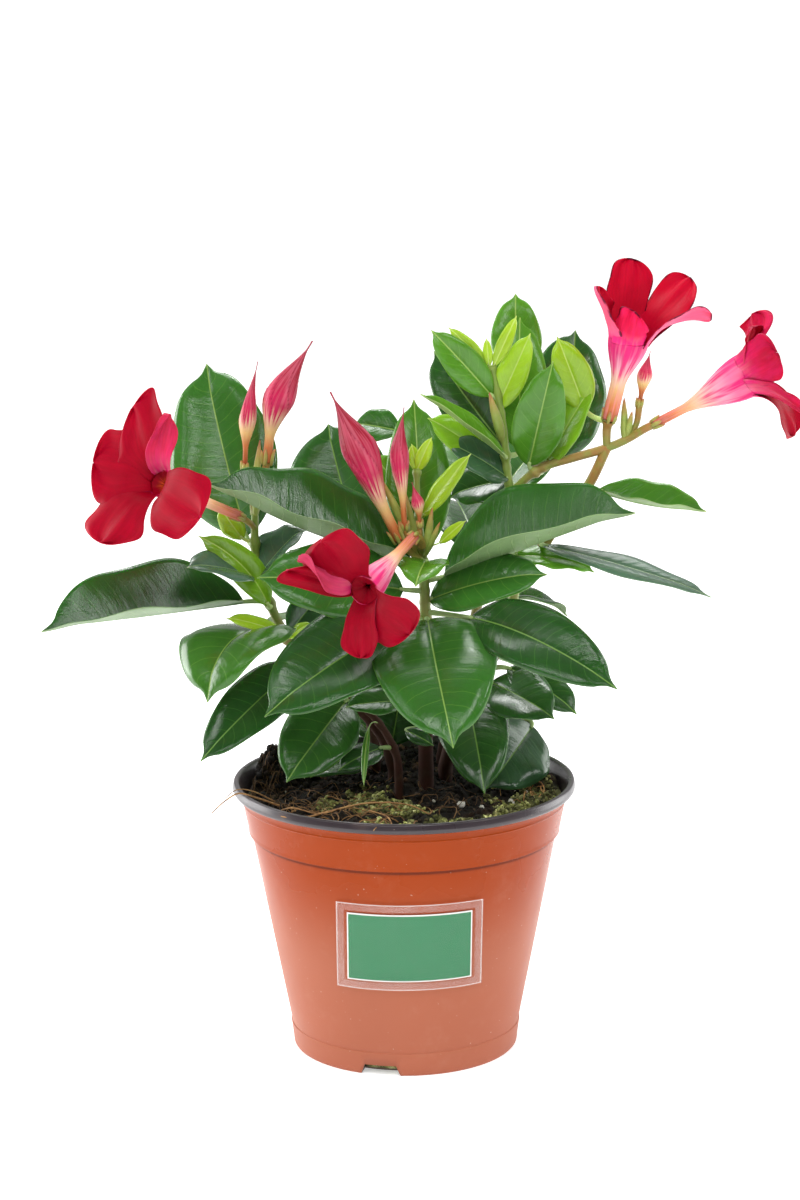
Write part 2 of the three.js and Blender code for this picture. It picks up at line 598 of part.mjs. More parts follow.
// A tall bud: a slim tube that swells and closes to a point, its five furled petals wound round it.
function bud([points, radius, widest]) {
  const curve = stemCurve(points);
  const swell = (t) => (t < widest
    ? 0.34 + 0.66 * smooth((t - 0.12) / (widest - 0.12))
    : Math.max(1 - smooth((t - widest) / (1 - widest)) ** 0.8, 0.07));
  return tube(curve, 9, 6, (t) => radius * swell(t), { turn: 1.4 });
}

// A petal on the rim of the bloom's mouth, in the bloom's own frame with its axis along +Z.
function petal(mouthRadius, depth, [angle, length, width, spread, reflex, cup, twist, swirl, slant]) {
  const [rows, columns] = width < 18 ? [4, 2] : [4, 3];
  const turn = radians(angle);
  const radial = new THREE.Vector3(Math.cos(turn), Math.sin(turn), 0);
  const around = new THREE.Vector3(-Math.sin(turn), Math.cos(turn), 0);
  const axis = new THREE.Vector3(0, 0, 1);
  const arc = radians(PETAL.rootArc);
  const upper = [];
  const lower = [];
  let [rho, z, before] = [mouthRadius - 0.5, depth - 1, 0];
  for (let i = 0; i <= rows; i += 1) {
    const s = Math.sin((i / rows) * (Math.PI / 2));
    const lean = (q) => radians(PETAL.flare + (spread - PETAL.flare) * smooth(q / 0.5) + reflex * q * q);
    for (let q = before; q < s - 1e-9; q += 1 / 60) {
      rho += (Math.sin(lean(q)) * length) / 60;
      z += (Math.cos(lean(q)) * length) / 60;
    }
    before = s;
    const round = (1 - THREE.MathUtils.clamp((s - 0.7) / 0.3, 0, 1) ** 2.6) ** 0.5;
    const root = mouthRadius * Math.sin(arc);
    const reach = Math.max((root + (width / 2 - root) * smooth(s / 0.75)) * round, 1.2);
    const growing = sum(scaled(radial, Math.sin(lean(s))), scaled(axis, Math.cos(lean(s))));
    const normal = sum(scaled(axis, Math.sin(lean(s))), scaled(radial, -Math.cos(lean(s))));
    const tilt = radians(twist) * s;
    const side = sum(scaled(around, Math.cos(tilt)), scaled(normal, Math.sin(tilt)));
    const front = sum(scaled(normal, Math.cos(tilt)), scaled(around, -Math.sin(tilt)));
    const centre = sum(scaled(radial, rho), scaled(axis, z), scaled(around, swirl * length * s * s));
    const line = [[], []];
    for (let j = 0; j <= columns; j += 1) {
      const v = (2 * j) / columns - 1;
      const hollow = cup * reach * v * v * smooth(s / 0.3);
      const inset = mouthRadius * (1 - Math.cos(arc * v)) * (1 - smooth(s / 0.35));
      const shoulder = slant * length * v * smooth((s - 0.2) / 0.7) * round;
      const point = sum(centre, scaled(side, reach * v), scaled(front, hollow), scaled(radial, -inset),
        scaled(growing, shoulder));
      line[0].push(point.clone().addScaledVector(front, PETAL.thickness / 2));
      line[1].push(point.clone().addScaledVector(front, -PETAL.thickness / 2));
    }
    upper.push(line[0].reverse());
    lower.push(line[1].reverse());
  }
  return sheet(upper, lower);
}

// A bloom: a narrow tube that opens into a hollow funnel, with five petals on its rim.
function bloom({ seat, mouth, tube: tubeRadius, mouthRadius, opens, zero, petals }) {
  const [from, to] = [vector(seat), vector(mouth)];
  const depth = from.distanceTo(to);
  const radiusAt = (t) => tubeRadius + (mouthRadius - tubeRadius) * smooth((t - opens + 0.12) / (1.12 - opens)) ** 0.9;
  const stops = [0, opens - 0.05, opens + 0.14, opens + 0.32, 1];
  const outside = stops.map((t) => [radiusAt(t), t * depth]);
  const inside = stops.slice(2).reverse().map((t) => [radiusAt(t) - 1, t * depth]);
  const funnel = lathe([[0, 0], ...outside, ...inside, [0, (opens + 0.05) * depth]], 8);
  const whole = joined([funnel, ...petals.map((row) => petal(mouthRadius, depth, row))]);
  const axis = to.clone().sub(from).normalize();
  const right = vector(zero).addScaledVector(axis, -vector(zero).dot(axis)).normalize();
  const frame = new THREE.Matrix4().makeBasis(right, axis.clone().cross(right), axis).setPosition(from);
  return geometryOfSolid(whole).applyMatrix4(frame);
}

// ---------------------------------------------------------------- the whole object

const FINISHES = {
  pot: { color: 0xb4552d, roughness: 0.35, metalness: 0 },
  soil: { color: 0x2a211b, roughness: 1, metalness: 0 },
  card: { color: 0x5a9673, roughness: 0.6, metalness: 0 },
  film: { color: 0xdfe6e4, roughness: 0.15, metalness: 0 },
  leaf: { color: 0x3f7030, roughness: 0.35, metalness: 0 },
  petal: { color: 0xc8102a, roughness: 0.5, metalness: 0 },
  bud: { color: 0xd8405c, roughness: 0.5, metalness: 0 },
};

const plant = new THREE.Group();

function add(name, geometry, finish) {
  const mesh = new THREE.Mesh(geometry, new THREE.MeshStandardMaterial(FINISHES[finish]));
  mesh.name = name;
  plant.add(mesh);
}

add('pot', pot(), 'pot');
add('soil', soil(), 'soil');
add('label_card', labelPiece(LABEL.card, GAP), 'card');
add('label_film', labelPiece(LABEL.film, 2 * GAP + LABEL.thickness), 'film');
for (const name of Object.keys(STEMS)) add(`shoot_${name}`, shoot(name), 'leaf');
for (const [name, row] of Object.entries(BUDS)) add(name, geometryOfSolid(solidOf(bud(row))), 'bud');
for (const [name, row] of Object.entries(BLOOMS)) add(name, bloom(row), 'petal');

export default plant;
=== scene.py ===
"""Potted mandevilla: leaves, stems, buds and blooms as fine surfaces, with the pot, its soil and its
label. Lengths in the tables are millimetres from the centre of the pot's underside, with the label
towards -Y. Meshes are in metres."""

import json
import math

import bpy
import numpy as np
from mathutils import Matrix, Vector
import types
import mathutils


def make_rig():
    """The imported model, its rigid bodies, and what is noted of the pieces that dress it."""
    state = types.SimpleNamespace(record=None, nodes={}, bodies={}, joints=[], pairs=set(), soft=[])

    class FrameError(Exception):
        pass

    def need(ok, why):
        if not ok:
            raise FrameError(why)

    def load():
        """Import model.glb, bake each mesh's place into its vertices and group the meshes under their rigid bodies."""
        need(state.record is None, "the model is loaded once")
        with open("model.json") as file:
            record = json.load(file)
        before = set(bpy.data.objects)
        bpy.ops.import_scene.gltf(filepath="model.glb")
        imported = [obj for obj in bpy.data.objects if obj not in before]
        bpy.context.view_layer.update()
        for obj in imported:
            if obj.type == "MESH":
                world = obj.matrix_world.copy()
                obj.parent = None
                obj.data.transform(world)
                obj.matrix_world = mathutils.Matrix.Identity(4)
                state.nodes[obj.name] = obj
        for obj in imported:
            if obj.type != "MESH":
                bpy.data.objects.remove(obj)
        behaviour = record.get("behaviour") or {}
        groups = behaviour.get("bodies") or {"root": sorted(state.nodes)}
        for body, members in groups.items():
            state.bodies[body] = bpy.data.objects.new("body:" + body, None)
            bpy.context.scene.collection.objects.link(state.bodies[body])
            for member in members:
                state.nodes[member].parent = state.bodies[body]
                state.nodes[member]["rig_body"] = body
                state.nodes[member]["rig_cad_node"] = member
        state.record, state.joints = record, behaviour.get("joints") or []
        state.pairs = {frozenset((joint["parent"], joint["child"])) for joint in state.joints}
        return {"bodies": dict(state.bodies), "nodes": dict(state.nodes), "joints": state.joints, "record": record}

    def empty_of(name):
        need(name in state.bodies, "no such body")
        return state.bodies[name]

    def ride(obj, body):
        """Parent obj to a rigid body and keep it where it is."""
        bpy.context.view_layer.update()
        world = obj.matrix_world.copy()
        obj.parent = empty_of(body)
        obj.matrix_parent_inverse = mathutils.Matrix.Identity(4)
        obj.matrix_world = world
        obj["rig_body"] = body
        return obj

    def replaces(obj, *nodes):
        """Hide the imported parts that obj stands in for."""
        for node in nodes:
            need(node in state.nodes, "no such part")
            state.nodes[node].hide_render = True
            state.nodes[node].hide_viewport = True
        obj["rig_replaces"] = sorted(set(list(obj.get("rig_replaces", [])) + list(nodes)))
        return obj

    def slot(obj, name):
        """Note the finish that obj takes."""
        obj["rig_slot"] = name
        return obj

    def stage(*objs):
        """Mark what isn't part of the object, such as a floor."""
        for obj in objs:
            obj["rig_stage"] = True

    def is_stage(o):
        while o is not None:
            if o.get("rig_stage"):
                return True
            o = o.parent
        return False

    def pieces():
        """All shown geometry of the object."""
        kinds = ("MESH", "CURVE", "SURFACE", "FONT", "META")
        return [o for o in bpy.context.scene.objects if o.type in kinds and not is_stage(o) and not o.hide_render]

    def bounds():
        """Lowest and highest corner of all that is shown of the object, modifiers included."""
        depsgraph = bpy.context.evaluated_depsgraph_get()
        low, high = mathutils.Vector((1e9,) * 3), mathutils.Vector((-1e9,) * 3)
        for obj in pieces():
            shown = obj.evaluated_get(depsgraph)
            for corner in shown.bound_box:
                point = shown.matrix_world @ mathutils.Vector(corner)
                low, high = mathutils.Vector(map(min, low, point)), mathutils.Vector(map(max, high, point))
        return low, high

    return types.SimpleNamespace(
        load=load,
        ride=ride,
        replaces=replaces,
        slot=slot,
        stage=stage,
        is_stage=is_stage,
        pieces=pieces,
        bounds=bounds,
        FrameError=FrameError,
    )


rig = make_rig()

bl_info = {
    "name": "Potted mandevilla",
    "version": (1, 0, 0),
    "blender": (4, 5, 0),
    "location": "View3D > Sidebar > Mandevilla",
    "description": "Builds a flowering mandevilla in its nursery pot",
    "category": "Add Mesh",
}

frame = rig.load()
CAD_BOX = [list(corner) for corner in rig.bounds()]
BODY = "root"
MM = 0.001
ROUND = 6.3  # a full turn and a little, from which angles are drawn

# ------------------------------------------------------------------ stems
# Each shoot's stems: foot radius, top radius, points on the way.

STEMS = {
    "left": [
        [2.6, 1.5, [[-4, 8, 113], [-8, 8, 126], [-21, 6, 143], [-40, 2, 163], [-47, 0, 171], [-53, -2, 184],
                    [-57, -3, 196], [-59, -3, 207], [-59, -1, 222]]],
        [1.2, 1.3, [[-59, -2, 216], [-61, -5, 219], [-64, -7, 221.5]]],
        [1.1, 1.4, [[-59, -1, 220], [-61, 2, 232], [-63, 4, 239]]],
        [1.1, 1.5, [[-59, -1, 220], [-56, 2, 234], [-54, 3, 242]]],
    ],
    "centre": [
        [3.2, 1.2, [[9, 0, 113], [9, 0, 128], [9, -1, 145], [9, -3, 166], [9, -4, 184], [8, -3, 203],
                    [7, -1, 215], [6, 2, 227], [6, 4, 239]]],
        [1.2, 1.6, [[8, -3, 203], [3, -6, 207], [-1, -8, 212]]],
        [1.2, 1.4, [[8, -3, 203], [4, -6, 209], [1, -7, 216]]],
        [1.1, 1.1, [[8, -3, 204], [7, -7, 211], [7, -8, 218]]],
        [1.3, 1.6, [[8, -3, 205], [7, -11, 213], [5, -14, 215]]],
    ],
    "right": [
        [3.0, 1.1, [[17, 12, 113], [20, 12, 124], [29, 12, 145], [40, 12, 166], [45, 12, 184], [46, 11, 204],
                    [44, 10, 223], [42, 8, 240], [41, 7, 254], [39, 6, 266], [36, 6, 280]]],
        [2.2, 2.0, [[45, 12, 188], [54, 8, 202], [64, 6, 217], [75, 4, 232], [82, 3, 247]]],
        [1.6, 1.8, [[44, 10, 228], [55, 6, 238], [69, 4, 243], [79, 3, 246], [82, 3, 247]]],
        [1.7, 1.6, [[82, 3, 247], [87, 3, 249], [91, 3, 251], [97, 1, 255], [100, 1, 256.5]]],
        [1.5, 1.9, [[82, 3, 247], [82, 3, 254], [82.5, 2, 258]]],
        [1.1, 1.4, [[91, 3, 251], [94, 4, 257], [95, 4, 264]]],
    ],
    "low": [
        [1.8, 1.1, [[-2, -8, 113], [-3, -7, 123], [-10, -5, 136], [-24, -2, 149]]],
    ],
    "back_left": [
        [2.4, 1.2, [[-12, 26, 113], [-14, 34, 132], [-17, 40, 160], [-20, 43, 190], [-19, 43, 220],
                    [-12, 40, 246]]],
    ],
    "back_right": [
        [2.6, 1.2, [[16, 30, 113], [22, 36, 132], [28, 41, 160], [34, 45, 190], [38, 47, 218],
                    [42, 46, 240]]],
    ],
}
STEM_ROOT = 81  # the height at which the stems end, inside the soil

# ------------------------------------------------------------------ leaves
# Blade base, blade tip, the way its upper side faces, width, arch, fold in degrees, sideways bend, and
# age: 1 is a fresh yellow-green leaf, 0 a full-grown dark one and below 0 a greyish, dull one.

LEAVES = {
    "left": [
        [[-64, -6, 187], [-143, -28, 182], [0, -0.42, 1], 46, 0, 42, 0, 0.08],
        [[-63, 9, 211], [-80, 34, 278], [-0.25, -1, 0.1], 46, 0.03, 10, 0, 0.3],
        [[-60, -9, 198], [-84, -34, 208], [0, -0.5, 0.8], 20, 0.04, 10, 0, -0.5],
        [[-58, -9, 197], [-39, -4, 217], [-0.75, -0.45, 0.65], 26, 0.05, 20, 0, -0.4],
        [[-54, -8, 186], [-81, -16, 216], [-0.4, -0.5, 0.6], 14, 0.06, 15, 0.08, 0.7],
        [[-50, -6, 173], [-78, -46, 156], [-0.4, -0.4, 0.85], 50, 0.25, 6, 0, 0.35],
        [[-48, -12, 175], [-70, -22, 184], [0, -0.6, 0.8], 9, 0.05, 10, 0, 0.9],
        [[-42, -4, 160], [-80, -46, 132], [-0.3, -1, 0.25], 24, 0.08, 15, 0, 0.02],
        [[-43, 8, 148], [-63, -8, 133], [0.6, 0.3, 0.6], 9, 0.03, 10, 0, 0.1],
        [[-46, 4, 172], [-32, 12, 188], [0.4, -0.8, 0.3], 16, 0.05, 10, 0, -0.2],
        [[-64, -2, 212], [-73, -2, 225], [-0.3, -1, 0.2], 10, 0.05, 10, 0, 0.9],
        [[-46, -2, 171], [-37, -6, 178], [0, -0.6, 0.8], 6, 0.05, 10, 0, 0.9],
        [[-30, 4, 141], [-43, 0, 132], [-0.3, -1, 0.3], 9, 0.05, 12, 0, 0.2],
    ],
    "centre": [
        [[10, -10, 180], [19, -72, 144], [-0.1, -0.5, 0.85], 50, 0.12, 8, 0, 0.25],
        [[1, -12, 180], [-54, -60, 154], [-0.15, -0.9, 0.6], 40, 0.08, 12, 0, 0.05],
        [[0, -8, 192], [-57, -28, 202], [0, -0.9, 0.5], 33, 0.04, 12, 0, 0.3],
        [[10, -6, 203], [5, -40, 201], [0, -0.4, 1], 21, 0.08, 12, 0, 0.5],
        [[3, -2, 203], [-76, -22, 240], [0, -0.38, 1], 50, -0.05, 42, 0, 0.15],
        [[11, -4, 187], [57, -20, 201], [0, -0.8, 0.8], 27, 0.05, 15, 0, 0.3],
        [[27, -20, 183], [83, -62, 164], [0.1, -0.9, 0.5], 29, 0.14, 12, 0, 0.03],
        [[17, -2, 196], [91, -22, 227], [0, -0.38, 1], 52, 0, 42, 0, 0.2],
        [[7, 4, 204], [5, 26, 264], [0, -1, 0.15], 27, 0.03, 10, 0, 0.45],
        [[6, 4, 238], [4, 4, 249], [0, -1, 0.2], 5, 0.05, 10, 0, 0.95],
        [[6, 4, 238], [12, 2, 252], [0, -1, 0.2], 6, 0.05, 10, 0, 0.95],
        [[8, -4, 221], [27, -14, 248], [-0.3, -0.8, 0.5], 9, 0.02, 10, 0, 0.85],
        [[15, -8, 211], [25, -14, 221], [0, -0.8, 0.5], 5, 0.02, 10, 0, 0.9],
        [[0, 14, 228], [-11, 18, 242], [0, -1, 0.2], 14, 0.05, 10, 0, 0.6],
        [[-1, -8, 146], [-23, -20, 147], [0, -0.6, 0.8], 15, 0.03, 10, 0, 0.15],
        [[1, -10, 134], [12, -18, 130], [0, -1, 0.6], 7, 0.06, 10, 0, 0.0],
    ],
    "right": [
        [[48, 12, 245], [48, 26, 297], [-0.1, -1, 0.15], 24, 0.03, 10, 0, 0.5],
        [[38, 8, 262], [51.5, 6, 293], [-0.2, -1, 0.1], 13, 0.05, 10, 0, 0.85],
        [[73.5, 6, 262], [62, 2, 292], [0, -1, 0.1], 16, 0.05, 10, 0, 0.85],
        [[59, 20, 238], [72, 40, 290], [0.3, -1, 0], 36, 0.05, 10, 0, 0.05],
        [[58, 8, 240], [76, 4, 272], [-0.5, -0.8, 0.2], 17, 0.03, 20, 0, 0.7],
        [[51, 5, 240], [60, -5, 283], [0, -1, 0.3], 22, 0.05, 20, 0, 0.45],
        [[42, 14, 245], [13, 30, 283], [-0.3, -0.9, 0.4], 25, 0.05, 12, 0, 0.1],
        [[36, 6, 268], [12, 2, 295], [-0.2, -1, 0.3], 15, 0.05, 12, 0, 0.5],
        [[34, 6, 281], [19, 2, 296], [0, -1, 0.4], 6, 0, 10, 0, 0.9],
        [[35, 6, 280], [34, 6, 291], [0, -1, 0.2], 4, 0.05, 10, 0, 0.95],
        [[37, 6, 280], [46, 6, 300], [0, -1, 0.2], 6, 0.05, 10, 0, 0.95],
        [[41, 4, 244], [8, -12, 272], [0, -0.5, 1], 12, 0, 40, 0, 0.6],
        [[40, 12, 240], [11, 2, 260], [0, -0.8, 0.6], 18, 0, 10, 0, 0.7],
        [[43, 8, 234], [18, 2, 250], [0, -0.6, 0.8], 20, 0.05, 10, 0, -0.2],
        [[42, 20, 231], [19, 18, 225], [0, -0.5, 0.8], 24, 0.05, 10, 0, 0.1],
        [[79, 2, 230], [120, -18, 226], [0, -0.38, 1], 21, -0.05, 40, 0, 0.4],
        [[57, 0, 208], [121, -36, 195], [0, -0.2, 1], 18, 0.02, 5, 0, -0.6],
        [[45, 4, 203], [77, -6, 199], [0, -0.3, 1], 20, 0.06, 10, 0, 0.6],
        [[43, 10, 155], [70, -10, 141], [0.3, -0.8, 0.6], 18, 0.06, 10, 0, 0.05],
        [[36, 10, 149], [60, -20, 142], [0.3, -1, 0.4], 26, 0.06, 10, 0, 0.05],
        [[25, 10, 146], [32, -35, 115], [0, -0.8, 0.6], 30, 0.1, 10, 0, 0.05],
        [[53, 20, 128], [34, -10, 110], [0.3, -1, 0.5], 32, 0.06, 10, 0, -0.15],
        [[48, 28, 272], [46.5, 34, 305.5], [-0.1, -1, 0.15], 21, 0.03, 10, 0, 0.5],
    ],
    "low": [
        [[-23, -2, 145], [-47, -30, 119], [-0.3, -1, 0.3], 31, 0.05, 12, 0, 0.2],
        [[-9, -10, 127], [-26, -24, 122], [-0.2, -0.8, 0.7], 13, 0.06, 10, 0, 0.0],
        [[-14, -16, 137], [-16, -32, 117], [-0.3, -1, 0.5], 3, 0.06, 10, 0, 0.4],
    ],
    "back_left": [
        [[-21, 38, 212], [-31, 50, 250], [-0.3, -1, 0.2], 44, 0.03, 10, 0, 0.1],
        [[-1, 36, 249], [-20, 44, 251], [0, -0.8, 0.6], 16, 0.03, 15, 0, 0.3],
        [[-17, 42, 150], [-44, 92, 128], [-0.3, 0.4, 1], 36, 0.12, 12, 0, 0.1],
        [[-12, 44, 152], [6, 100, 130], [0.1, 0.5, 1], 38, 0.12, 12, 0, 0.15],
        [[-22, 46, 186], [-38, 98, 182], [-0.2, 0.2, 1], 36, 0.1, 20, 0, 0.2],
        [[-17, 47, 190], [10, 96, 202], [0.1, -0.2, 1], 34, 0.1, 20, 0, 0.1],
        [[-24, 42, 168], [-60, 56, 162], [0, 0.1, 1], 26, 0.1, 14, 0, 0.15],
        [[-20, 47, 214], [-28, 92, 232], [0, -0.4, 1], 32, 0.08, 20, 0, 0.3],
        [[-10, 34, 118], [-34, 80, 112], [-0.1, 0.1, 1], 28, 0.14, 12, 0, 0.05],
        [[-16, 19, 115], [-38, -8, 115], [0, -0.6, 0.8], 20, 0.08, 10, 0, 0.1],
        [[-5, 36, 116], [1, 50, 154], [0, -1, 0.2], 30, 0.05, 10, 0, 0.05],
    ],
    "back_right": [
        [[29, 43, 150], [62, 88, 128], [0.2, 0.4, 1], 36, 0.12, 12, 0, 0.1],
        [[34, 49, 190], [68, 88, 186], [0.2, 0.1, 1], 34, 0.1, 20, 0, 0.2],
        [[32, 49, 194], [22, 104, 208], [-0.1, -0.2, 1], 34, 0.1, 20, 0, 0.1],
        [[34, 42, 176], [70, 54, 168], [0.1, 0, 1], 28, 0.1, 14, 0, 0.15],
        [[40, 50, 218], [62, 92, 234], [0.1, -0.4, 1], 30, 0.08, 20, 0, 0.3],
        [[36, 50, 216], [20, 84, 238], [-0.1, -0.5, 1], 26, 0.06, 15, 0, 0.35],
        [[20, 38, 118], [48, 78, 112], [0.1, 0.1, 1], 28, 0.14, 12, 0, 0.05],
    ],
}

BLADE_WIDEST = 0.47  # the share of its length at which a blade is widest
BLADE_OVAL = 0.935  # the share of its length that the blade's oval covers, before its point
VEIN_STEP = 5.4  # from one side vein to the next
STALK_HALF_WIDTH = 1.0

# ------------------------------------------------------------------ buds and blooms

# young buds on the shoots: base, tip, radius
YOUNG_BUDS = {
    "left": [
        [[-60, 1, 221], [-57, 10, 250], 2],
        [[-59, -1, 220], [-57, -6, 237], 1.6],
    ],
    "centre": [
        [[6, -3, 207], [-9, -2, 237], 2],
        [[7, -3, 206], [1, -1, 231], 1.7],
        [[9, -5, 205], [12, -12, 226], 1.8],
        [[9, -5, 205], [15, -11, 220], 1.5],
    ],
    "right": [
        [[41, 8, 248], [35, 1, 270], 2.2],
        [[41, 7, 250], [37, 3, 262], 1.6],
        [[89, 3, 250], [89, 5, 267], 1.6],
        [[90, 3, 251], [92, 2, 262], 1.4],
    ],
}

# tall buds: points from seat to tip, widest radius, where it is widest, and how red they are
BUDS = {
    "bud_left_slim": [[[-63, 4, 239.6], [-62, 4, 255], [-60, 3, 269], [-57, 2, 283]], 3.4, 0.45, 0.55],
    "bud_left_full": [[[-54, 3, 242.3], [-52, 2, 257], [-48, 0, 270], [-35, -5, 292]], 6.2, 0.5, 0.9],
    "bud_centre_full": [[[-1.3, -8.2, 212.3], [-9, -10, 229], [-16, -12, 248], [-28, -14, 273]], 7, 0.62,
                        0.95],
    "bud_centre_slim": [[[1, -7, 216.6], [0, -8, 233], [-1, -8, 248], [1, -9, 266]], 3.8, 0.6, 0.75],
    "bud_centre_short": [[[7, -8.2, 218.3], [6.4, -9, 226], [4, -10, 236]], 2.6, 0.5, 0.5],
    "bud_right_young": [[[95, 4, 264.3], [96.5, 3, 274], [99, 2, 286]], 3, 0.55, 0.35],
}

# open blooms: seat, mouth, tube and mouth radius, where the funnel opens, the direction of petal angle 0,
# how dry the petal edges are, how orange the throat is, how pale the back of a turned petal is, how bright
# the bloom is, and the petals as [angle, length, width, spread, reflex, cup, twist, swirl, slant]
BLOOMS = {
    "bloom_left": {
        "seat": [-64.5, -7.5, 222.1], "mouth": [-94, -40, 242], "tube": 2, "mouth_radius": 5.5, "opens": 0.5,
        "zero": [1, 0, 0], "dry": 0.0, "warm": 1.0, "faded": 0.1, "tone": 1.0,
        "petals": [
            [101, 28, 27, 76, 0, 0.05, 0, -0.04, -0.3],
            [155, 27, 31, 78, 5, 0.02, 0, 0.02, -0.12],
            [223, 30, 28, 76, 12, -0.08, 0, 0.08, -0.15],
            [318, 36, 28, 86, 8, 0.06, 0, 0.05, 0],
            [62, 25, 11, 66, 8, 0.3, 115, -0.12, 0],
        ],
    },
    "bloom_front": {
        "seat": [4.6, -15, 214.9], "mouth": [-15, -56, 202], "tube": 2.2, "mouth_radius": 6.5, "opens": 0.4,
        "zero": [1, 0, 0], "dry": 0.0, "warm": 0.0, "faded": 0.3, "tone": 0.88,
        "petals": [
            [113, 28, 31, 62, 12, -0.12, 0, 0.0, -0.2],
            [138, 26, 16, 60, 8, 0.1, 150, 0.05, 0],
            [154, 28, 11, 60, 0, 0.25, 30, 0, 0.25],
            [276, 22, 15, 70, 10, 0.1, 0, 0.0, 0],
            [332, 21, 26, 84, 10, 0.03, 0, 0.02, 0.1],
        ],
    },
    "bloom_top": {
        "seat": [82.9, 1.5, 259.1], "mouth": [90, -5, 292], "tube": 3, "mouth_radius": 8, "opens": 0.55,
        "zero": [1, 0, 0], "dry": 1.0, "warm": 0.0, "faded": 0.7, "tone": 1.4,
        "petals": [
            [100, 30, 17.9, 22, 8, 0.05, 0, 0.02, 0],
            [36, 32, 21, 46, 0, 0.08, 0, 0.08, 0.05],
            [2, 29, 14, 50, 44, 0.25, -50, 0.12, 0],
            [196, 23, 15, 32, -10, 0.4, -40, -0.05, 0.2],
            [262, 15, 13, 10, -30, 0.6, 0, 0, -0.2],
        ],
    },
    "bloom_right": {
        "seat": [100.8, 0.9, 256.9], "mouth": [137, -5, 277], "tube": 1.8, "mouth_radius": 9, "opens": 0.42,
        "zero": [0, -1, 0], "dry": 0.3, "warm": 0.0, "faded": 0.0, "tone": 1.0,
        "petals": [
            [280, 15, 13, 16, 60, 0.2, -40, 0, 0],
            [244, 20, 17.5, 18, 75, 0.1, 75, 0, 0],
            [338, 20, 20, 30, 10, 0.1, 0, 0.05, 0],
            [42, 23, 17, 52, 8, 0.15, 0, 0.1, 0],
            [96, 26, 20, 92, 10, 0.2, 30, 0.1, 0],
        ],
    },
}

PETAL_FLARE = 24  # degrees that a petal leans out by where it leaves the mouth
PETAL_ROOT_ARC = 52  # half the arc of the mouth that a petal's root covers, in degrees
PETAL_ROOT_INSIDE = 0.4  # how far a petal's root lies inside the mouth's radius
PETAL_ROOT_BELOW = 0.7  # how far it lies below the mouth

# ------------------------------------------------------------------ pot, soil and label

POT = {
    "height": 112, "foot_radius": 46, "foot_height": 10, "foot_step": 0.8, "body_top_radius": 62.4,
    "collar_bottom": 91, "collar_radius": 63.4, "collar_top_radius": 66.6, "lip_bottom": 107.5,
    "lip_radius": 70, "wall": 1.3, "floor": 2.2,
}
COLLAR_BEAD = 103.4  # the height of the fine bead round the collar
NOTCH = {"count": 3, "width": 17, "top_width": 13, "height": 4.5, "inner": 39, "turn": -math.pi / 14}
SOIL = {"level": 103, "roughness": 1.1, "gap": 0.3}

# heaps of soil: x, y, height, spread
HEAPS = [[-54, 20, 15, 8], [-42, 34, 6, 11], [30, -34, 2.5, 14], [-20, -38, 2, 12], [4, 18, 6, 34],
         [10, 54, 5, 26], [57, 14, 7, 9]]
HEAP_CRUMBS = 150  # extra crumbs on each of the first two heaps
HEAP_REACH = 62.0  # how far from the axis they may lie

# the larger perlite grains: x, y, size
PERLITE = [[22.7, -21, 2.1], [43.6, -9, 1.5], [31, -24, 1.1], [12, -17, 0.9], [50, 1, 0.9]]

# tangles of short fibres: x, y, spread, count, tone
TANGLES = [[-56, 6, 5, 34, 0.3], [-40, -16, 8, 20, 0.45], [54, 3, 3.5, 16, 1.9], [12, -18, 9, 14, 0.5]]

# root fibres that reach over the lip: the points they pass through and their thickness
LONG_FIBRES = [
    [[[-50, -24, 107], [-60, -27, 111.5], [-66, -28, 113.4], [-71, -29, 111], [-77, -31, 106]], 0.5],
    [[[-52, -18, 107], [-61, -20, 112], [-67, -22, 113.2], [-73, -27, 110]], 0.35],
    [[[-44, -44, 106], [-30, -47, 111], [-14, -42, 113], [2, -40, 111.5], [10, -41, 108]], 0.5],
    [[[-52, -36, 107], [-44, -47, 112.6], [-33, -50, 111], [-22, -44, 112], [-12, -43, 109]], 0.35],
    [[[-14, -42, 110], [-7, -49, 109.6], [-5, -57, 108.6], [-8, -64, 112.4], [-12, -70.5, 110]], 0.35],
    [[[-46, -40, 107], [-50, -46, 109.5], [-46, -52, 110.2], [-38, -52, 109], [-30, -47, 108]], 0.4],
]

# the label: degrees from the front; width, bottom and top of card and film; how far each side stands
# off the wall; and the width of the white border
LABEL = {
    "turn": 2, "card": [50.5, 42.5, 72], "film": [59, 39, 76.5], "card_lift": [0.3, 0.8],
    "film_lift": [1.1, 1.6], "border": 0.5,
}


# ------------------------------------------------------------------ arrays and shapes

def unit(vectors):
    """Vectors divided by their length."""
    return vectors / np.linalg.norm(vectors, axis=-1, keepdims=True)


def full_turn(count):
    """The angles of count even steps of a full turn."""
    return np.arange(count) / count * math.tau


def smooth(x, low=0.0, high=1.0):
    """0 below low, 1 above high, and an S-shaped cubic between."""
    q = np.clip((np.asarray(x, float) - low) / (high - low), 0, 1)
    return q * q * (3 - 2 * q)


def patchwork(x, y, cell, seed, count=64):
    """Heights from -1 to 1 that roll over a plane: a random value at each corner of a square lattice,
    which repeats after count cells, blended between corners by the S-shaped cubic."""
    corners = np.random.default_rng(seed).uniform(-1, 1, (count, count))
    u, v = x / cell, y / cell
    i, j = np.floor(u).astype(int), np.floor(v).astype(int)
    fu, fv = smooth(u - i), smooth(v - j)
    i, j, next_i, next_j = i % count, j % count, (i + 1) % count, (j + 1) % count
    low = corners[i, j] * (1 - fu) + corners[next_i, j] * fu
    high = corners[i, next_j] * (1 - fu) + corners[next_i, next_j] * fu
    return low * (1 - fv) + high * fv


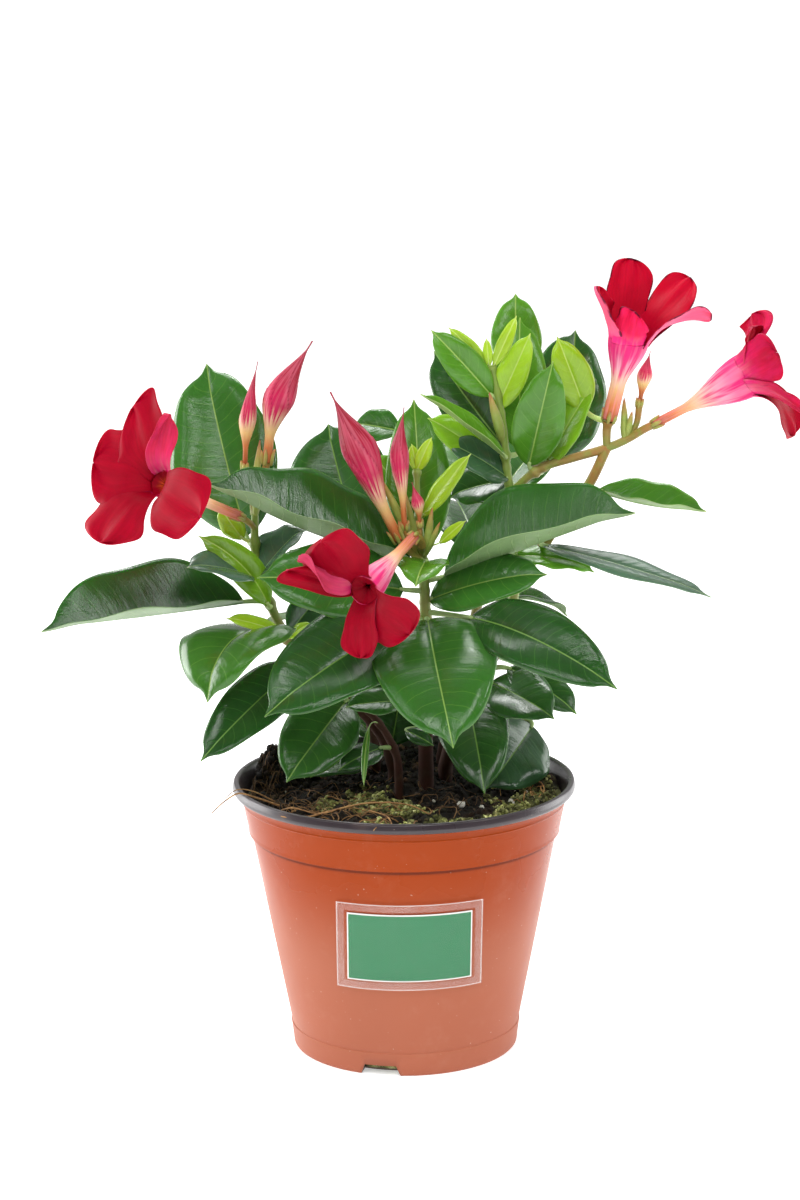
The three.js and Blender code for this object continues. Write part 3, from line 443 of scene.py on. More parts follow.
def turned(radius, angle, z):
    """Points at a radius, an angle and a height of the axis."""
    return np.stack(np.broadcast_arrays(radius * np.cos(angle), radius * np.sin(angle), z), axis=-1)


def square_to(direction):
    """Two unit vectors for each direction, square to it and to each other. The first is also square to
    the axis that the directions lean towards least."""
    steady = np.eye(3)[np.argmin(np.abs(direction).reshape(-1, 3).max(axis=0))]
    across = unit(np.cross(direction, steady))
    return across, np.cross(direction, across)


def even_steps(curve, count):
    """The same curve with count points at even steps of its length."""
    distance = np.concatenate([[0], np.cumsum(np.linalg.norm(np.diff(curve, axis=0), axis=1))])
    even = np.linspace(0, distance[-1], count)
    return np.stack([np.interp(even, distance, part) for part in curve.T], axis=1)


def grid_faces(rows, columns, around=False):
    """The quads of a grid of points, turning from column to row, and each corner's place in it from 0
    to 1. With around, the last column joins the first."""
    i, j = np.meshgrid(np.arange(rows - 1), np.arange(columns if around else columns - 1), indexing="ij")
    i, j = i.ravel(), j.ravel()
    di, dj = np.array([0, 0, 1, 1]), np.array([0, 1, 1, 0])
    faces = (i[:, None] + di) * columns + (j[:, None] + dj) % columns
    places = np.stack([(i[:, None] + di) / (rows - 1),
                       (j[:, None] + dj) / (columns if around else columns - 1)], axis=-1)
    return faces, places


class Piece:
    """The points, faces and values of one piece, gathered part by part and then made into a mesh."""

    def __init__(self):
        self.points, self.faces, self.uv, self.materials, self.values = [], [], [], [], []
        self.count = 0

    def add(self, points, parts, **values):
        """parts is a list of (faces, material number, uv), whose uv is a pair for each corner or None."""
        points = points.reshape(-1, 3)
        for faces, material, uv in parts:
            self.faces.append(faces + self.count)
            self.uv.append(np.zeros((*faces.shape, 2)) if uv is None else uv)
            self.materials.append(np.full(len(faces), material))
        self.values.append({name: np.broadcast_to(value, len(points)) for name, value in values.items()})
        self.points.append(points)
        self.count += len(points)

    def build(self, name, materials, slot, replaces=()):
        """Makes the mesh of the points that faces use, and its object, which rides on the body."""
        mesh = bpy.data.meshes.new(name)
        loops = np.concatenate([faces.ravel() for faces in self.faces])
        sizes = np.concatenate([np.full(len(faces), faces.shape[1]) for faces in self.faces])
        used, loops = np.unique(loops, return_inverse=True)
        mesh.vertices.add(len(used))
        mesh.vertices.foreach_set("co", (np.concatenate(self.points)[used] * MM).astype(np.float32).ravel())
        mesh.loops.add(len(loops))
        mesh.loops.foreach_set("vertex_index", loops.astype(np.int32))
        mesh.polygons.add(len(sizes))
        mesh.polygons.foreach_set("loop_start", (np.cumsum(sizes) - sizes).astype(np.int32))
        for material in materials:
            mesh.materials.append(material)
        mesh.polygons.foreach_set("material_index", np.concatenate(self.materials).astype(np.int32))
        mesh.polygons.foreach_set("use_smooth", np.ones(len(sizes), bool))
        layer = mesh.uv_layers.new(name="UVMap")
        layer.uv.foreach_set("vector", np.concatenate([uv.reshape(-1, 2) for uv in self.uv])
                             .astype(np.float32).ravel())
        for key in sorted({key for values in self.values for key in values}):
            whole = [values.get(key, np.zeros(len(points)))
                     for values, points in zip(self.values, self.points)]
            attribute = mesh.attributes.new(key, "FLOAT", "POINT")
            attribute.data.foreach_set("value", np.concatenate(whole)[used].astype(np.float32))
        mesh.update(calc_edges=True)
        if mesh.validate():
            raise RuntimeError(f"{name} has faces that don't close")
        piece = bpy.data.objects.new(name, mesh)
        bpy.context.scene.collection.objects.link(piece)
        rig.ride(piece, BODY)
        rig.slot(piece, slot)
        if replaces:
            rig.replaces(piece, *replaces)
        return piece


def closed_sheet(piece, upper, lower, uv, materials, **values):
    """A sheet between two grids of points whose columns turn into rows round the upper side's normal,
    with a narrow edge between them. uv is a pair for each point of one grid, and materials are the
    upper side's, lower side's and edge's. A value is the same on both sides, or a pair of them."""
    rows, columns = upper.shape[:2]
    index = np.arange(rows * columns).reshape(rows, columns)
    rim = np.concatenate([index[0], index[1:, -1], index[-1, -2::-1], index[-2:0:-1, 0]])
    after = np.roll(rim, -1)
    below = rows * columns
    top, _ = grid_faces(rows, columns)
    edge = np.stack([rim, rim + below, after + below, after], axis=1)
    flat = np.concatenate([uv.reshape(-1, 2)] * 2)
    doubled = {name: np.concatenate([np.broadcast_to(side, (rows, columns)).ravel()
                                     for side in (value if isinstance(value, tuple) else (value, value))])
               for name, value in values.items()}
    piece.add(np.concatenate([upper.reshape(-1, 3), lower.reshape(-1, 3)]), [
        (faces, material, flat[faces])
        for faces, material in zip((top, top[:, ::-1] + below, edge), materials)], **doubled)


def sheet_normals(points):
    """The unit normal at each point of a grid, from the steps to its neighbours."""
    return unit(np.cross(np.gradient(points, axis=1), np.gradient(points, axis=0)))


def stem_curve(points, count=161):
    """Points at even steps along a centripetal Catmull-Rom curve: a cubic through each pair of points,
    whose slopes come from the neighbours, spaced by the square roots of their distances."""
    p = np.array(points, float)
    p = np.vstack([2 * p[0] - p[1], p, 2 * p[-1] - p[-2]])
    a, b, c, d = p[:-3], p[1:-2], p[2:-1], p[3:]
    ab, bc, cd = (np.sqrt(np.linalg.norm(step, axis=1))[:, None] for step in (b - a, c - b, d - c))
    leaving = ((b - a) / ab - (c - a) / (ab + bc) + (c - b) / bc) * bc
    arriving = ((c - b) / bc - (d - b) / (bc + cd) + (d - c) / cd) * bc
    u = np.linspace(0, 1, 40, endpoint=False)[None, :, None]
    b, c, leaving, arriving = (x[:, None] for x in (b, c, leaving, arriving))
    fine = (b * (2 * u**3 - 3 * u**2 + 1) + leaving * (u**3 - 2 * u**2 + u)
            + c * (3 * u**2 - 2 * u**3) + arriving * (u**3 - u**2)).reshape(-1, 3)
    return even_steps(np.vstack([fine, p[-2]]), count)


def sweep(path, radius, sides, turn=0.0):
    """Rings of points carried along a path: each lies square to it, at the radius given for the ring or
    for each of its points, and turns a little from ring to ring."""
    across, over = square_to(unit(np.gradient(path, axis=0)))
    angle = full_turn(sides) + turn * np.linspace(0, 1, len(path))[:, None]
    radius = np.asarray(radius, float)
    radius = radius[:, None] if radius.ndim == 1 else radius
    return path[:, None] + radius[..., None] * (
        np.cos(angle)[..., None] * across[:, None] + np.sin(angle)[..., None] * over[:, None])


def closed_tube(piece, rings, material, **values):
    """A tube through rings of points with a fan over each end. Its u runs round and its v along, and
    values are given for the whole tube, for each ring or for each point."""
    count, sides = rings.shape[:2]
    faces, places = grid_faces(count, sides, around=True)
    j = np.arange(sides)
    k = (j + 1) % sides
    last = (count - 1) * sides
    ends = np.stack([rings[0].mean(axis=0), rings[-1].mean(axis=0)])
    foot = np.stack([k, j, np.full(sides, count * sides)], axis=1)
    head = np.stack([last + j, last + k, np.full(sides, count * sides + 1)], axis=1)
    spread = {}
    for name, value in values.items():
        value = np.asarray(value, float)
        whole = np.broadcast_to(value[:, None] if value.ndim == 1 else value, (count, sides))
        spread[name] = np.concatenate([whole.ravel(), whole[[0, -1]].mean(axis=1)])
    piece.add(np.concatenate([rings.reshape(-1, 3), ends]), [
        (faces, material, places[..., ::-1]), (foot, material, None), (head, material, None)], **spread)


# ------------------------------------------------------------------ node trees

def feed(tree, socket, value):
    """Links a socket to the value if that is a socket too, and sets it otherwise. Colours are opaque."""
    if isinstance(value, bpy.types.NodeSocket):
        tree.links.new(value, socket)
    else:
        socket.default_value = (*value, 1) if socket.type == "RGBA" else value


def new_node(tree, kind, inputs=None, **settings):
    """A node with its settings, whose inputs are linked to sockets or set to plain values."""
    node = tree.nodes.new(kind)
    for key, value in settings.items():
        setattr(node, key, value)
    for key, value in (inputs or {}).items():
        feed(tree, node.inputs[key], value)
    return node


def calc(tree, operation, *values, clamp=False):
    """One Math node."""
    return new_node(tree, "ShaderNodeMath", dict(enumerate(values)), operation=operation,
                    use_clamp=clamp).outputs[0]


def times(tree, value, *others):
    """The product of two or more values."""
    for other in others:
        value = calc(tree, "MULTIPLY", value, other)
    return value


def rise(tree, value, low, high, bottom=0.0, top=1.0):
    """bottom below low, top above high and an S-curve between."""
    return new_node(tree, "ShaderNodeMapRange", {"Value": value, "From Min": low, "From Max": high,
                                                 "To Min": bottom, "To Max": top},
                    interpolation_type="SMOOTHSTEP").outputs[0]


def blend(tree, factor, first, second, mode="MIX"):
    """A colour mixed from two."""
    return new_node(tree, "ShaderNodeMix", {0: factor, 6: first, 7: second}, data_type="RGBA",
                    blend_type=mode).outputs[2]


def layered(tree, colour, *layers):
    """A colour with others laid over it in turn, each given as how much it covers and its colour."""
    for cover, over in layers:
        colour = blend(tree, cover, colour, over)
    return colour


def multiplied(tree, colour, factor):
    """A colour made darker or lighter by a factor."""
    grey = new_node(tree, "ShaderNodeCombineColor", {0: factor, 1: factor, 2: factor}).outputs[0]
    return blend(tree, 1.0, colour, grey, "MULTIPLY")


def ramp(tree, factor, stops):
    """A colour ramp with stops of (place, colour)."""
    node = new_node(tree, "ShaderNodeValToRGB", {"Fac": factor})
    elements = node.color_ramp.elements
    elements.remove(elements[1])
    elements[0].position = stops[0][0]
    elements[0].color = (*stops[0][1], 1)
    for place, colour in stops[1:]:
        elements.new(place).color = (*colour, 1)
    return node.outputs[0]


def noise(tree, vector, scale, detail=3.0, roughness=0.55):
    """A noise pattern from 0 to 1, whose cells are one over the scale in size."""
    return new_node(tree, "ShaderNodeTexNoise", {"Vector": vector, "Scale": scale, "Detail": detail,
                                                 "Roughness": roughness}).outputs["Fac"]


def value_of(tree, name):
    """One of the piece's own values."""
    return new_node(tree, "ShaderNodeAttribute", attribute_name=name).outputs["Fac"]


def place_on(tree):
    """Object coordinates, in metres."""
    return new_node(tree, "ShaderNodeTexCoord").outputs["Object"]


def uv_parts(tree):
    """The two parts of the piece's own UV map."""
    uv = new_node(tree, "ShaderNodeUVMap", uv_map="UVMap").outputs[0]
    parts = new_node(tree, "ShaderNodeSeparateXYZ", {"Vector": uv})
    return parts.outputs[0], parts.outputs[1]


def bump(tree, height, strength, distance):
    """The surface's normal tilted by the slopes of a height, which is in units of the distance."""
    return new_node(tree, "ShaderNodeBump", {"Height": height, "Strength": strength,
                                             "Distance": distance}).outputs[0]


def coat(tree, looks):
    """Links or sets inputs of a material's Principled shader."""
    for key, value in looks.items():
        feed(tree, tree.nodes["Principled BSDF"].inputs[key], value)


def finish_of(name, constants):
    """A material and its tree, with a Principled shader that has these constants."""
    material = bpy.data.materials.new(name)
    material.use_nodes = True
    coat(material.node_tree, constants)
    return material, material.node_tree


def new_group(name, inputs, outputs):
    """An empty shader node group with named float, vector or colour sockets."""
    group = bpy.data.node_groups.new(name, "ShaderNodeTree")
    for label, kind, default in inputs:
        socket = group.interface.new_socket(label, in_out="INPUT", socket_type=f"NodeSocket{kind}")
        if default is not None:
            socket.default_value = default
    for label, kind in outputs:
        group.interface.new_socket(label, in_out="OUTPUT", socket_type=f"NodeSocket{kind}")
    return group, group.nodes.new("NodeGroupInput").outputs, group.nodes.new("NodeGroupOutput").inputs


# ------------------------------------------------------------------ shared effects

def mottle_group():
    """A factor about 1 that rises and falls with noise by the given amount."""
    group, inputs, outputs = new_group("Mottle", [("Vector", "Vector", None), ("Scale", "Float", 80.0),
                                                  ("Amount", "Float", 0.15)], [("Factor", "Float")])
    grain = noise(group, inputs["Vector"], inputs["Scale"], 4.0)
    swing = times(group, calc(group, "SUBTRACT", grain, 0.5), inputs["Amount"])
    group.links.new(calc(group, "MULTIPLY_ADD", swing, 2.0, 1.0), outputs["Factor"])
    return group


def veins_group():
    """Side veins: thin lines that leave the midrib at even steps, alternate from side to side, sweep
    towards the tip and fade out before the margin. Between them the blade swells, with a fine grain."""
    group, inputs, outputs = new_group("Side veins", [("Along", "Float", 0.0), ("Across", "Float", 0.0),
                                                      ("Vector", "Vector", None)],
                                       [("Veins", "Float"), ("Swell", "Float"), ("Grain", "Float")])
    away = calc(group, "ABSOLUTE", inputs["Across"])
    sweep_forward = times(group, calc(group, "POWER", away, 1.25), 1.5)
    stagger = times(group, calc(group, "GREATER_THAN", inputs["Across"], 0.0), 0.45)
    wobble = times(group, noise(group, inputs["Vector"], 70.0, 2.0), 0.55)
    phase = calc(group, "SUBTRACT", calc(group, "ADD", inputs["Along"], stagger),
                 calc(group, "SUBTRACT", sweep_forward, wobble))
    off_middle = calc(group, "SUBTRACT", calc(group, "FRACT", phase), 0.5)
    distance = times(group, calc(group, "ABSOLUTE", off_middle), 2.0)
    line = rise(group, distance, 0.01, 0.1, 1.0, 0.0)
    fade = rise(group, away, 0.62, 0.95, 1.0, 0.0)
    at = new_node(group, "ShaderNodeCombineXYZ", {"X": times(group, phase, 2.6),
                                                  "Y": times(group, inputs["Across"], 1.7)})
    group.links.new(noise(group, at.outputs[0], 1.0, 4.0, 0.6), outputs["Grain"])
    group.links.new(times(group, line, fade), outputs["Veins"])
    group.links.new(times(group, distance, fade), outputs["Swell"])
    return group


def streaks_group():
    """Streaks that run along a petal or a tube: noise stretched lengthwise, with hard or soft edges."""
    group, inputs, outputs = new_group("Streaks", [("Around", "Float", 0.0), ("Along", "Float", 0.0),
                                                   ("Count", "Float", 30.0), ("Low", "Float", 0.4),
                                                   ("High", "Float", 0.6)], [("Streaks", "Float")])
    at = new_node(group, "ShaderNodeCombineXYZ", {"X": times(group, inputs["Around"], inputs["Count"]),
                                                  "Y": times(group, inputs["Along"], 1.6)})
    grain = noise(group, at.outputs[0], 1.0, 2.0, 0.6)
    group.links.new(rise(group, grain, inputs["Low"], inputs["High"]), outputs["Streaks"])
    return group


GROUP_MAKERS = {"Mottle": mottle_group, "Side veins": veins_group, "Streaks": streaks_group}


def effect(tree, name, inputs):
    """A shared effect placed in a tree. Its group is built the first time that a finish asks for it."""
    group = bpy.data.node_groups.get(name) or GROUP_MAKERS[name]()
    return new_node(tree, "ShaderNodeGroup", inputs, node_tree=group).outputs


def mottled(tree, place, scale, amount):
    """A factor about 1 that changes by the amount over the surface."""
    return effect(tree, "Mottle", {"Vector": place, "Scale": scale, "Amount": amount})["Factor"]


def streaked(tree, around, along, count, low, high):
    """How strong the streaks are, from 0 to 1: count of them round the whole, sharper from low to high."""
    return effect(tree, "Streaks", {"Around": around, "Along": along, "Count": count, "Low": low,
                                    "High": high})["Streaks"]


# ------------------------------------------------------------------ finishes of the plant

SKIN_DEPTH = 0.0015  # how far light travels under a leaf's or petal's skin, in metres


def leaf_finish(upper):
    """The waxy upper or the duller lower side of a leaf, from yellow-green when young to deep green or
    grey-green, with a pale midrib, side veins and margin."""
    material, tree = finish_of("leaf upper side" if upper else "leaf lower side", {
        "Specular IOR Level": 0.42 if upper else 0.3, "Subsurface Weight": 0.08,
        "Subsurface Radius": (0.5, 1.0, 0.2), "Subsurface Scale": SKIN_DEPTH})
    place = place_on(tree)
    along, across = uv_parts(tree)
    age = calc(tree, "MULTIPLY_ADD", value_of(tree, "age"), 0.5, 0.5)
    veins = effect(tree, "Side veins", {"Along": along, "Across": across, "Vector": place})
    rib = rise(tree, value_of(tree, "offset"), 0.12, 0.45, 1.0, 0.0)
    margin = rise(tree, value_of(tree, "inset"), 0.1, 0.6, 1.0, 0.0)
    if upper:
        body = ramp(tree, age, [(0.0, (0.1, 0.17, 0.13)), (0.3, (0.05, 0.11, 0.06)),
                                (0.5, (0.015, 0.059, 0.011)), (0.65, (0.031, 0.12, 0.015)),
                                (0.8, (0.09, 0.26, 0.012)), (1.0, (0.37, 0.56, 0.018))])
        line = ramp(tree, age, [(0.0, (0.2, 0.28, 0.2)), (0.5, (0.06, 0.17, 0.025)),
                                (0.8, (0.19, 0.4, 0.05)), (1.0, (0.46, 0.62, 0.08))])
        midrib = ramp(tree, age, [(0.0, (0.3, 0.38, 0.26)), (0.5, (0.19, 0.36, 0.07)),
                                  (1.0, (0.55, 0.68, 0.16))])
        vein_share, rib_share, margin_share = 0.3, 0.6, 0.4
        smoothest, roughest = 0.1, 0.2
    else:
        body = ramp(tree, age, [(0.0, (0.22, 0.29, 0.24)), (0.5, (0.14, 0.22, 0.115)),
                                (0.8, (0.24, 0.38, 0.11)), (1.0, (0.4, 0.55, 0.1))])
        line = ramp(tree, age, [(0.0, (0.32, 0.4, 0.3)), (0.5, (0.24, 0.34, 0.17)),
                                (1.0, (0.55, 0.68, 0.22))])
        midrib = ramp(tree, age, [(0.0, (0.4, 0.46, 0.34)), (0.5, (0.34, 0.46, 0.2)),
                                  (1.0, (0.64, 0.74, 0.3))])
        vein_share, rib_share, margin_share = 0.5, 0.85, 0.3
        smoothest, roughest = 0.45, 0.65
    broad, fine = mottled(tree, place, 60.0, 0.3), mottled(tree, place, 700.0, 0.12)
    colour = layered(tree, multiplied(tree, body, times(tree, broad, fine, value_of(tree, "tone"))),
                     (times(tree, veins["Veins"], vein_share), line),
                     (times(tree, margin, margin_share), line), (times(tree, rib, rib_share), midrib))
    relief = calc(tree, "MULTIPLY_ADD", veins["Swell"], 0.15, times(tree, veins["Grain"], 0.55))
    if not upper:
        relief = calc(tree, "MULTIPLY_ADD", rib, 0.8, times(tree, veins["Veins"], 0.5))
    height = calc(tree, "MULTIPLY_ADD", noise(tree, place, 1800.0, 2.0), 0.15, relief)
    coat(tree, {"Base Color": colour,
                "Roughness": rise(tree, noise(tree, place, 45.0), 0.25, 0.75, smoothest, roughest),
                "Normal": bump(tree, height, 0.5, 0.0007)})
    return material


def stem_finish():
    """Stems: green and smooth at the top, woody brown lower down, with painted shade that makes them nearly black at
    the foot, and red-brown where blooms hang.
    """
    material, tree = finish_of("stem bark", {"Specular IOR Level": 0.4})
    grain = noise(tree, place_on(tree), 260.0, 4.0)
    wood = calc(tree, "ADD", value_of(tree, "wood"), times(tree, calc(tree, "SUBTRACT", grain, 0.5), 0.7),
                clamp=True)
    # the darkest stops are painted shade: they take the bark nearly black at the foot of the stems, in the shade under
    # the leaves; the browner stops are the real woody bark
    bark = ramp(tree, wood, [(0.0, (0.16, 0.28, 0.045)), (0.35, (0.17, 0.19, 0.05)),
                             (0.7, (0.045, 0.026, 0.012)), (1.0, (0.01, 0.006, 0.005))])
    blush = times(tree, value_of(tree, "blush"), rise(tree, grain, 0.3, 0.6, 0.55, 1.0))
    coat(tree, {"Base Color": blend(tree, blush, bark, (0.42, 0.095, 0.03)),
                "Roughness": rise(tree, wood, 0.0, 1.0, 0.42, 0.85),
                "Normal": bump(tree, grain, 0.5, 0.0006)})
    return material


def corolla_finish():
    """Petals and funnel: velvety crimson inside, with painted shade deep in the throat; outside a cream and
    peach tube with pink streaks that turn to crimson at the rim, and dark dry edges on an old bloom."""
    material, tree = finish_of("corolla", {
        "Specular IOR Level": 0.07, "Subsurface Weight": 0.1, "Subsurface Radius": (1.0, 0.15, 0.12),
        "Subsurface Scale": SKIN_DEPTH})
    place = place_on(tree)
    around, _ = uv_parts(tree)
    along = value_of(tree, "along")
    half = times(tree, along, 0.5)
    streaks = streaked(tree, around, along, 17.0, 0.38, 0.62)
    lines = streaked(tree, around, along, 60.0, 0.3, 0.75)
    # painted shade: the stops below 0.5 darken the inside to nearly black down the throat, where little light reaches
    inside = ramp(tree, half, [(0.3, (0.04, 0.0, 0.002)), (0.43, (0.07, 0.0, 0.003)),
                               (0.46, (0.19, 0.0, 0.007)), (0.5, (0.26, 0.0005, 0.01)),
                               (1.0, (0.35, 0.001, 0.016))])
    ring = times(tree, rise(tree, along, 0.87, 0.9), rise(tree, along, 0.92, 0.97, 1.0, 0.0))
    inside = blend(tree, times(tree, ring, lines, value_of(tree, "warm")), inside, (0.8, 0.13, 0.015))
    outside = ramp(tree, half, [(0.0, (0.36, 0.09, 0.025)), (0.1, (0.58, 0.19, 0.055)),
                                (0.19, (0.76, 0.43, 0.18)), (0.27, (0.86, 0.66, 0.46)),
                                (0.34, (0.84, 0.42, 0.5)), (0.43, (0.76, 0.12, 0.28)),
                                (0.56, (0.56, 0.014, 0.07)), (1.0, (0.44, 0.004, 0.03))])
    window = times(tree, rise(tree, along, 0.42, 0.6), rise(tree, along, 1.0, 1.5, 1.0, 0.25))
    pale = times(tree, rise(tree, along, 0.98, 1.45, 1.0, 0.0), calc(tree, "SUBTRACT", 1.0, streaks), 0.3)
    faded = times(tree, value_of(tree, "faded"), rise(tree, along, 1.0, 1.2))
    outside = layered(tree, outside, (times(tree, streaks, 0.9, window), (0.7, 0.02, 0.16)),
                      (pale, (0.86, 0.3, 0.42)), (faded, (0.76, 0.13, 0.24)))
    soft = mottled(tree, place, 120.0, 0.22)
    shade = times(tree, soft, value_of(tree, "tone"), rise(tree, lines, 0.0, 1.0, 0.92, 1.05))
    colour = multiplied(tree, blend(tree, value_of(tree, "inner"), outside, inside), shade)
    ragged = calc(tree, "MULTIPLY_ADD", noise(tree, place, 160.0), -3.2, value_of(tree, "inset"))
    dry = times(tree, value_of(tree, "dry"), rise(tree, ragged, -1.7, -1.0, 0.9, 0.0))
    height = calc(tree, "MULTIPLY_ADD", lines, 0.22, times(tree, noise(tree, place, 2600.0, 2.0), 0.25))
    coat(tree, {"Base Color": blend(tree, dry, colour, (0.05, 0.002, 0.014)),
                "Roughness": rise(tree, soft, 0.8, 1.2, 0.42, 0.6),
                "Normal": bump(tree, height, 0.3, 0.0004)})
    return material


def bud_finish():
    """Furled buds: peach and cream at the foot, streaked pink in the middle, crimson at the tip, with painted
    shade along the seams of the petals and a painted highlight where they swell."""
    material, tree = finish_of("furled petals", {
        "Specular IOR Level": 0.25, "Subsurface Weight": 0.08, "Subsurface Radius": (1.0, 0.25, 0.2),
        "Subsurface Scale": SKIN_DEPTH})
    place = place_on(tree)
    around, _ = uv_parts(tree)
    along, seam = value_of(tree, "along"), value_of(tree, "seam")
    shifted = calc(tree, "ADD", along, calc(tree, "MULTIPLY_ADD", value_of(tree, "red"), 0.3, -0.2))
    streaks = streaked(tree, around, along, 26.0, 0.42, 0.6)
    body = ramp(tree, shifted, [(0.0, (0.3, 0.07, 0.02)), (0.18, (0.5, 0.16, 0.05)),
                                (0.3, (0.66, 0.44, 0.17)), (0.42, (0.74, 0.5, 0.34)),
                                (0.54, (0.45, 0.01, 0.05)), (0.75, (0.3, 0.0015, 0.02)),
                                (1.0, (0.24, 0.001, 0.012))])
    window = times(tree, rise(tree, shifted, 0.32, 0.44), rise(tree, shifted, 0.5, 0.8, 1.0, 0.0))
    pale = times(tree, calc(tree, "SUBTRACT", 1.0, streaks), rise(tree, shifted, 0.45, 0.6), 0.25)
    # painted shade: darker in the crease along each seam, where one furled petal tucks under the next
    edge = times(tree, rise(tree, seam, 0.0, 0.16, 1.0, 0.0), rise(tree, along, 0.3, 0.45), 0.65)
    # painted highlight: lighter on the swell of each furled petal
    lit = times(tree, rise(tree, seam, 0.6, 1.0), rise(tree, along, 0.35, 0.6), 0.15)
    colour = layered(tree, body, (times(tree, streaks, window), (0.5, 0.012, 0.08)),
                     (pale, (0.86, 0.26, 0.36)), (edge, (0.2, 0.0, 0.03)), (lit, (0.85, 0.2, 0.3)))
    soft = mottled(tree, place, 220.0, 0.2)
    height = calc(tree, "MULTIPLY_ADD", streaks, 0.4, noise(tree, place, 1500.0, 2.0))
    coat(tree, {"Base Color": multiplied(tree, colour, soft),
                "Roughness": rise(tree, soft, 0.8, 1.2, 0.34, 0.5),
                "Normal": bump(tree, height, 0.3, 0.0003)})
    return material


def sepal_finish():
    """Young buds, sepals and scales: light green with red-brown tips."""
    material, tree = finish_of("sepals", {"Specular IOR Level": 0.45})
    place = place_on(tree)
    green = ramp(tree, value_of(tree, "along"), [(0.0, (0.2, 0.32, 0.06)), (0.55, (0.26, 0.42, 0.08)),
                                                 (0.85, (0.38, 0.3, 0.08)), (1.0, (0.36, 0.08, 0.04))])
    blush = times(tree, value_of(tree, "blush"), noise(tree, place, 300.0))
    colour = blend(tree, calc(tree, "MULTIPLY", blush, 1.4, clamp=True), green, (0.4, 0.1, 0.04))
    soft = mottled(tree, place, 400.0, 0.25)
    coat(tree, {"Base Color": multiplied(tree, colour, soft),
                "Roughness": rise(tree, soft, 0.8, 1.2, 0.36, 0.55),
                "Normal": bump(tree, noise(tree, place, 900.0), 0.4, 0.0004)})
    return material


# ------------------------------------------------------------------ leaves

def blade_shape(s):
    """Half the blade's width as a share of its widest: the sine of a bent path along the midrib, to a
    power that falls from 0.66 to 0.46 towards the tip, joined with a short point there."""
    bent = np.minimum(s / BLADE_OVAL, 1) ** (math.log(0.5) / math.log(BLADE_WIDEST))
    oval = np.maximum(np.sin(math.pi * bent), 0) ** (0.66 - 0.2 * smooth(s, 0.45, 0.85))
    point = 2.2 * (1 - s) * smooth(s, 0.72, 0.92)
    return (oval ** 4 + point ** 4) ** 0.25


def stalk_root(base, curves):
    """Where a leaf's stalk starts: the nearest point of the stems that isn't above the blade's base."""
    points = np.concatenate(curves)
    cost = np.linalg.norm(points - base, axis=1) + 1.2 * np.maximum(0, points[:, 2] - base[2] + 1)
    return points[np.argmin(cost)]


def add_leaf(piece, row, curves, rng, look):
    """A blade and its stalk. The midrib runs from base to tip with a bow of 4 s (1 - s). Across it each
    half rises by the fold, swells a little, rolls down at the margin and waves along it. The lower side
    lies one thickness below, with the midrib standing proud."""
    base, tip, face, width, arch, fold, bend, age = row
    base, tip, face = (np.array(x, float) for x in (base, tip, face))
    length = np.linalg.norm(tip - base)
    along = (tip - base) / length
    up = unit(face - along * (face @ along))
    bow = up * arch + np.cross(along, up) * bend
    opening = math.radians(fold)
    rows, columns = (56, 28) if width > 34 else (40, 20) if width > 12 else (20, 10)
    s = np.linspace(0, 1, rows + 1)[:, None]
    q = np.linspace(-1, 1, columns + 1)[None, :]
    v = np.sign(q) * np.abs(q) ** 1.5
    away = np.abs(v)
    size = min(1.0, width / 40)
    centre = base + (along * length) * s[..., None] + bow * length * (4 * s * (1 - s))[..., None]
    heading = unit(along + bow * (4 * (1 - 2 * s))[..., None])
    side = unit(np.cross(heading, up))
    raised = np.cross(side, heading)
    stalk = min(STALK_HALF_WIDTH, width / 8)
    reach = np.maximum(width / 2 * blade_shape(s), 0.12 + (stalk - 0.12) * (1 - s) ** 8)
    reach = reach * (1 + 0.09 * rng.uniform(-1, 1) * np.sign(v) * away * smooth(s) * smooth(1 - s))
    lift = math.sin(opening) * (np.sqrt(away ** 2 + 0.002) - 0.045)
    flat = 1 - min(1.0, fold / 40)
    lift = lift + (0.06 + 0.16 * flat) * away * (1 - away) - look.roll * flat * smooth(away, 0.7, 1.0)
    waves, early, late = rng.uniform(1.6, 2.8), rng.uniform(0, ROUND), rng.uniform(0, ROUND)
    phase = np.where(v > 0, early, late) + math.tau * waves * s
    wave = look.wave / MM * size * away ** 2 * np.sin(phase) * smooth(s, 0.03, 0.25) * smooth(1 - s, 0.0, 0.2)
    droop = -2.0 * size * smooth(s, 0.8, 1.0) * np.ones_like(v)
    sideways = rng.uniform(-1, 1) * 0.012 * length * np.sin(math.pi * s) * np.ones_like(v)
    middle = (centre + side * (reach * v * math.cos(opening) + sideways)[..., None]
              + raised * (reach * lift + wave + droop)[..., None])
    normal = sheet_normals(middle)
    rib = np.exp(-(v * reach / 0.75) ** 2) * (1 - 0.9 * s) ** 0.6 * min(1.0, width / 22)
    thick = look.thickness / MM * (1 - 0.5 * away ** 4) * np.ones_like(s)
    upper = middle + normal * (thick / 2 - 0.3 * rib)[..., None]
    lower = middle - normal * (thick / 2 + 0.7 * rib)[..., None]
    uv = np.stack(np.broadcast_arrays(s * max(4.0, length / VEIN_STEP), v), axis=-1)
    tone = rng.uniform(0.88, 1.12)
    closed_sheet(piece, upper, lower, uv, (0, 1, 1), age=age, tone=tone,
                 offset=away * reach, inset=(1 - away) * reach)
    root = stalk_root(base, curves)
    before = base - unit(along + 4 * bow) * 0.4 * np.linalg.norm(root - base)
    t = np.linspace(0, 1, 14)[:, None]
    path = (1 - t) ** 2 * root + 2 * t * (1 - t) * before + t ** 2 * (base + heading[0, 0] * 1.5)
    radius = min(1.0, width / 14) * np.linspace(1.25, 0.85, 14)
    closed_tube(piece, sweep(path, radius, 10), 1, age=max(age, 0.35), tone=1.05, offset=0.3, inset=9.0)


def shoot_curves(name):
    """The curves of a shoot's stems."""
    return [stem_curve(points) for _, _, points in STEMS[name]]


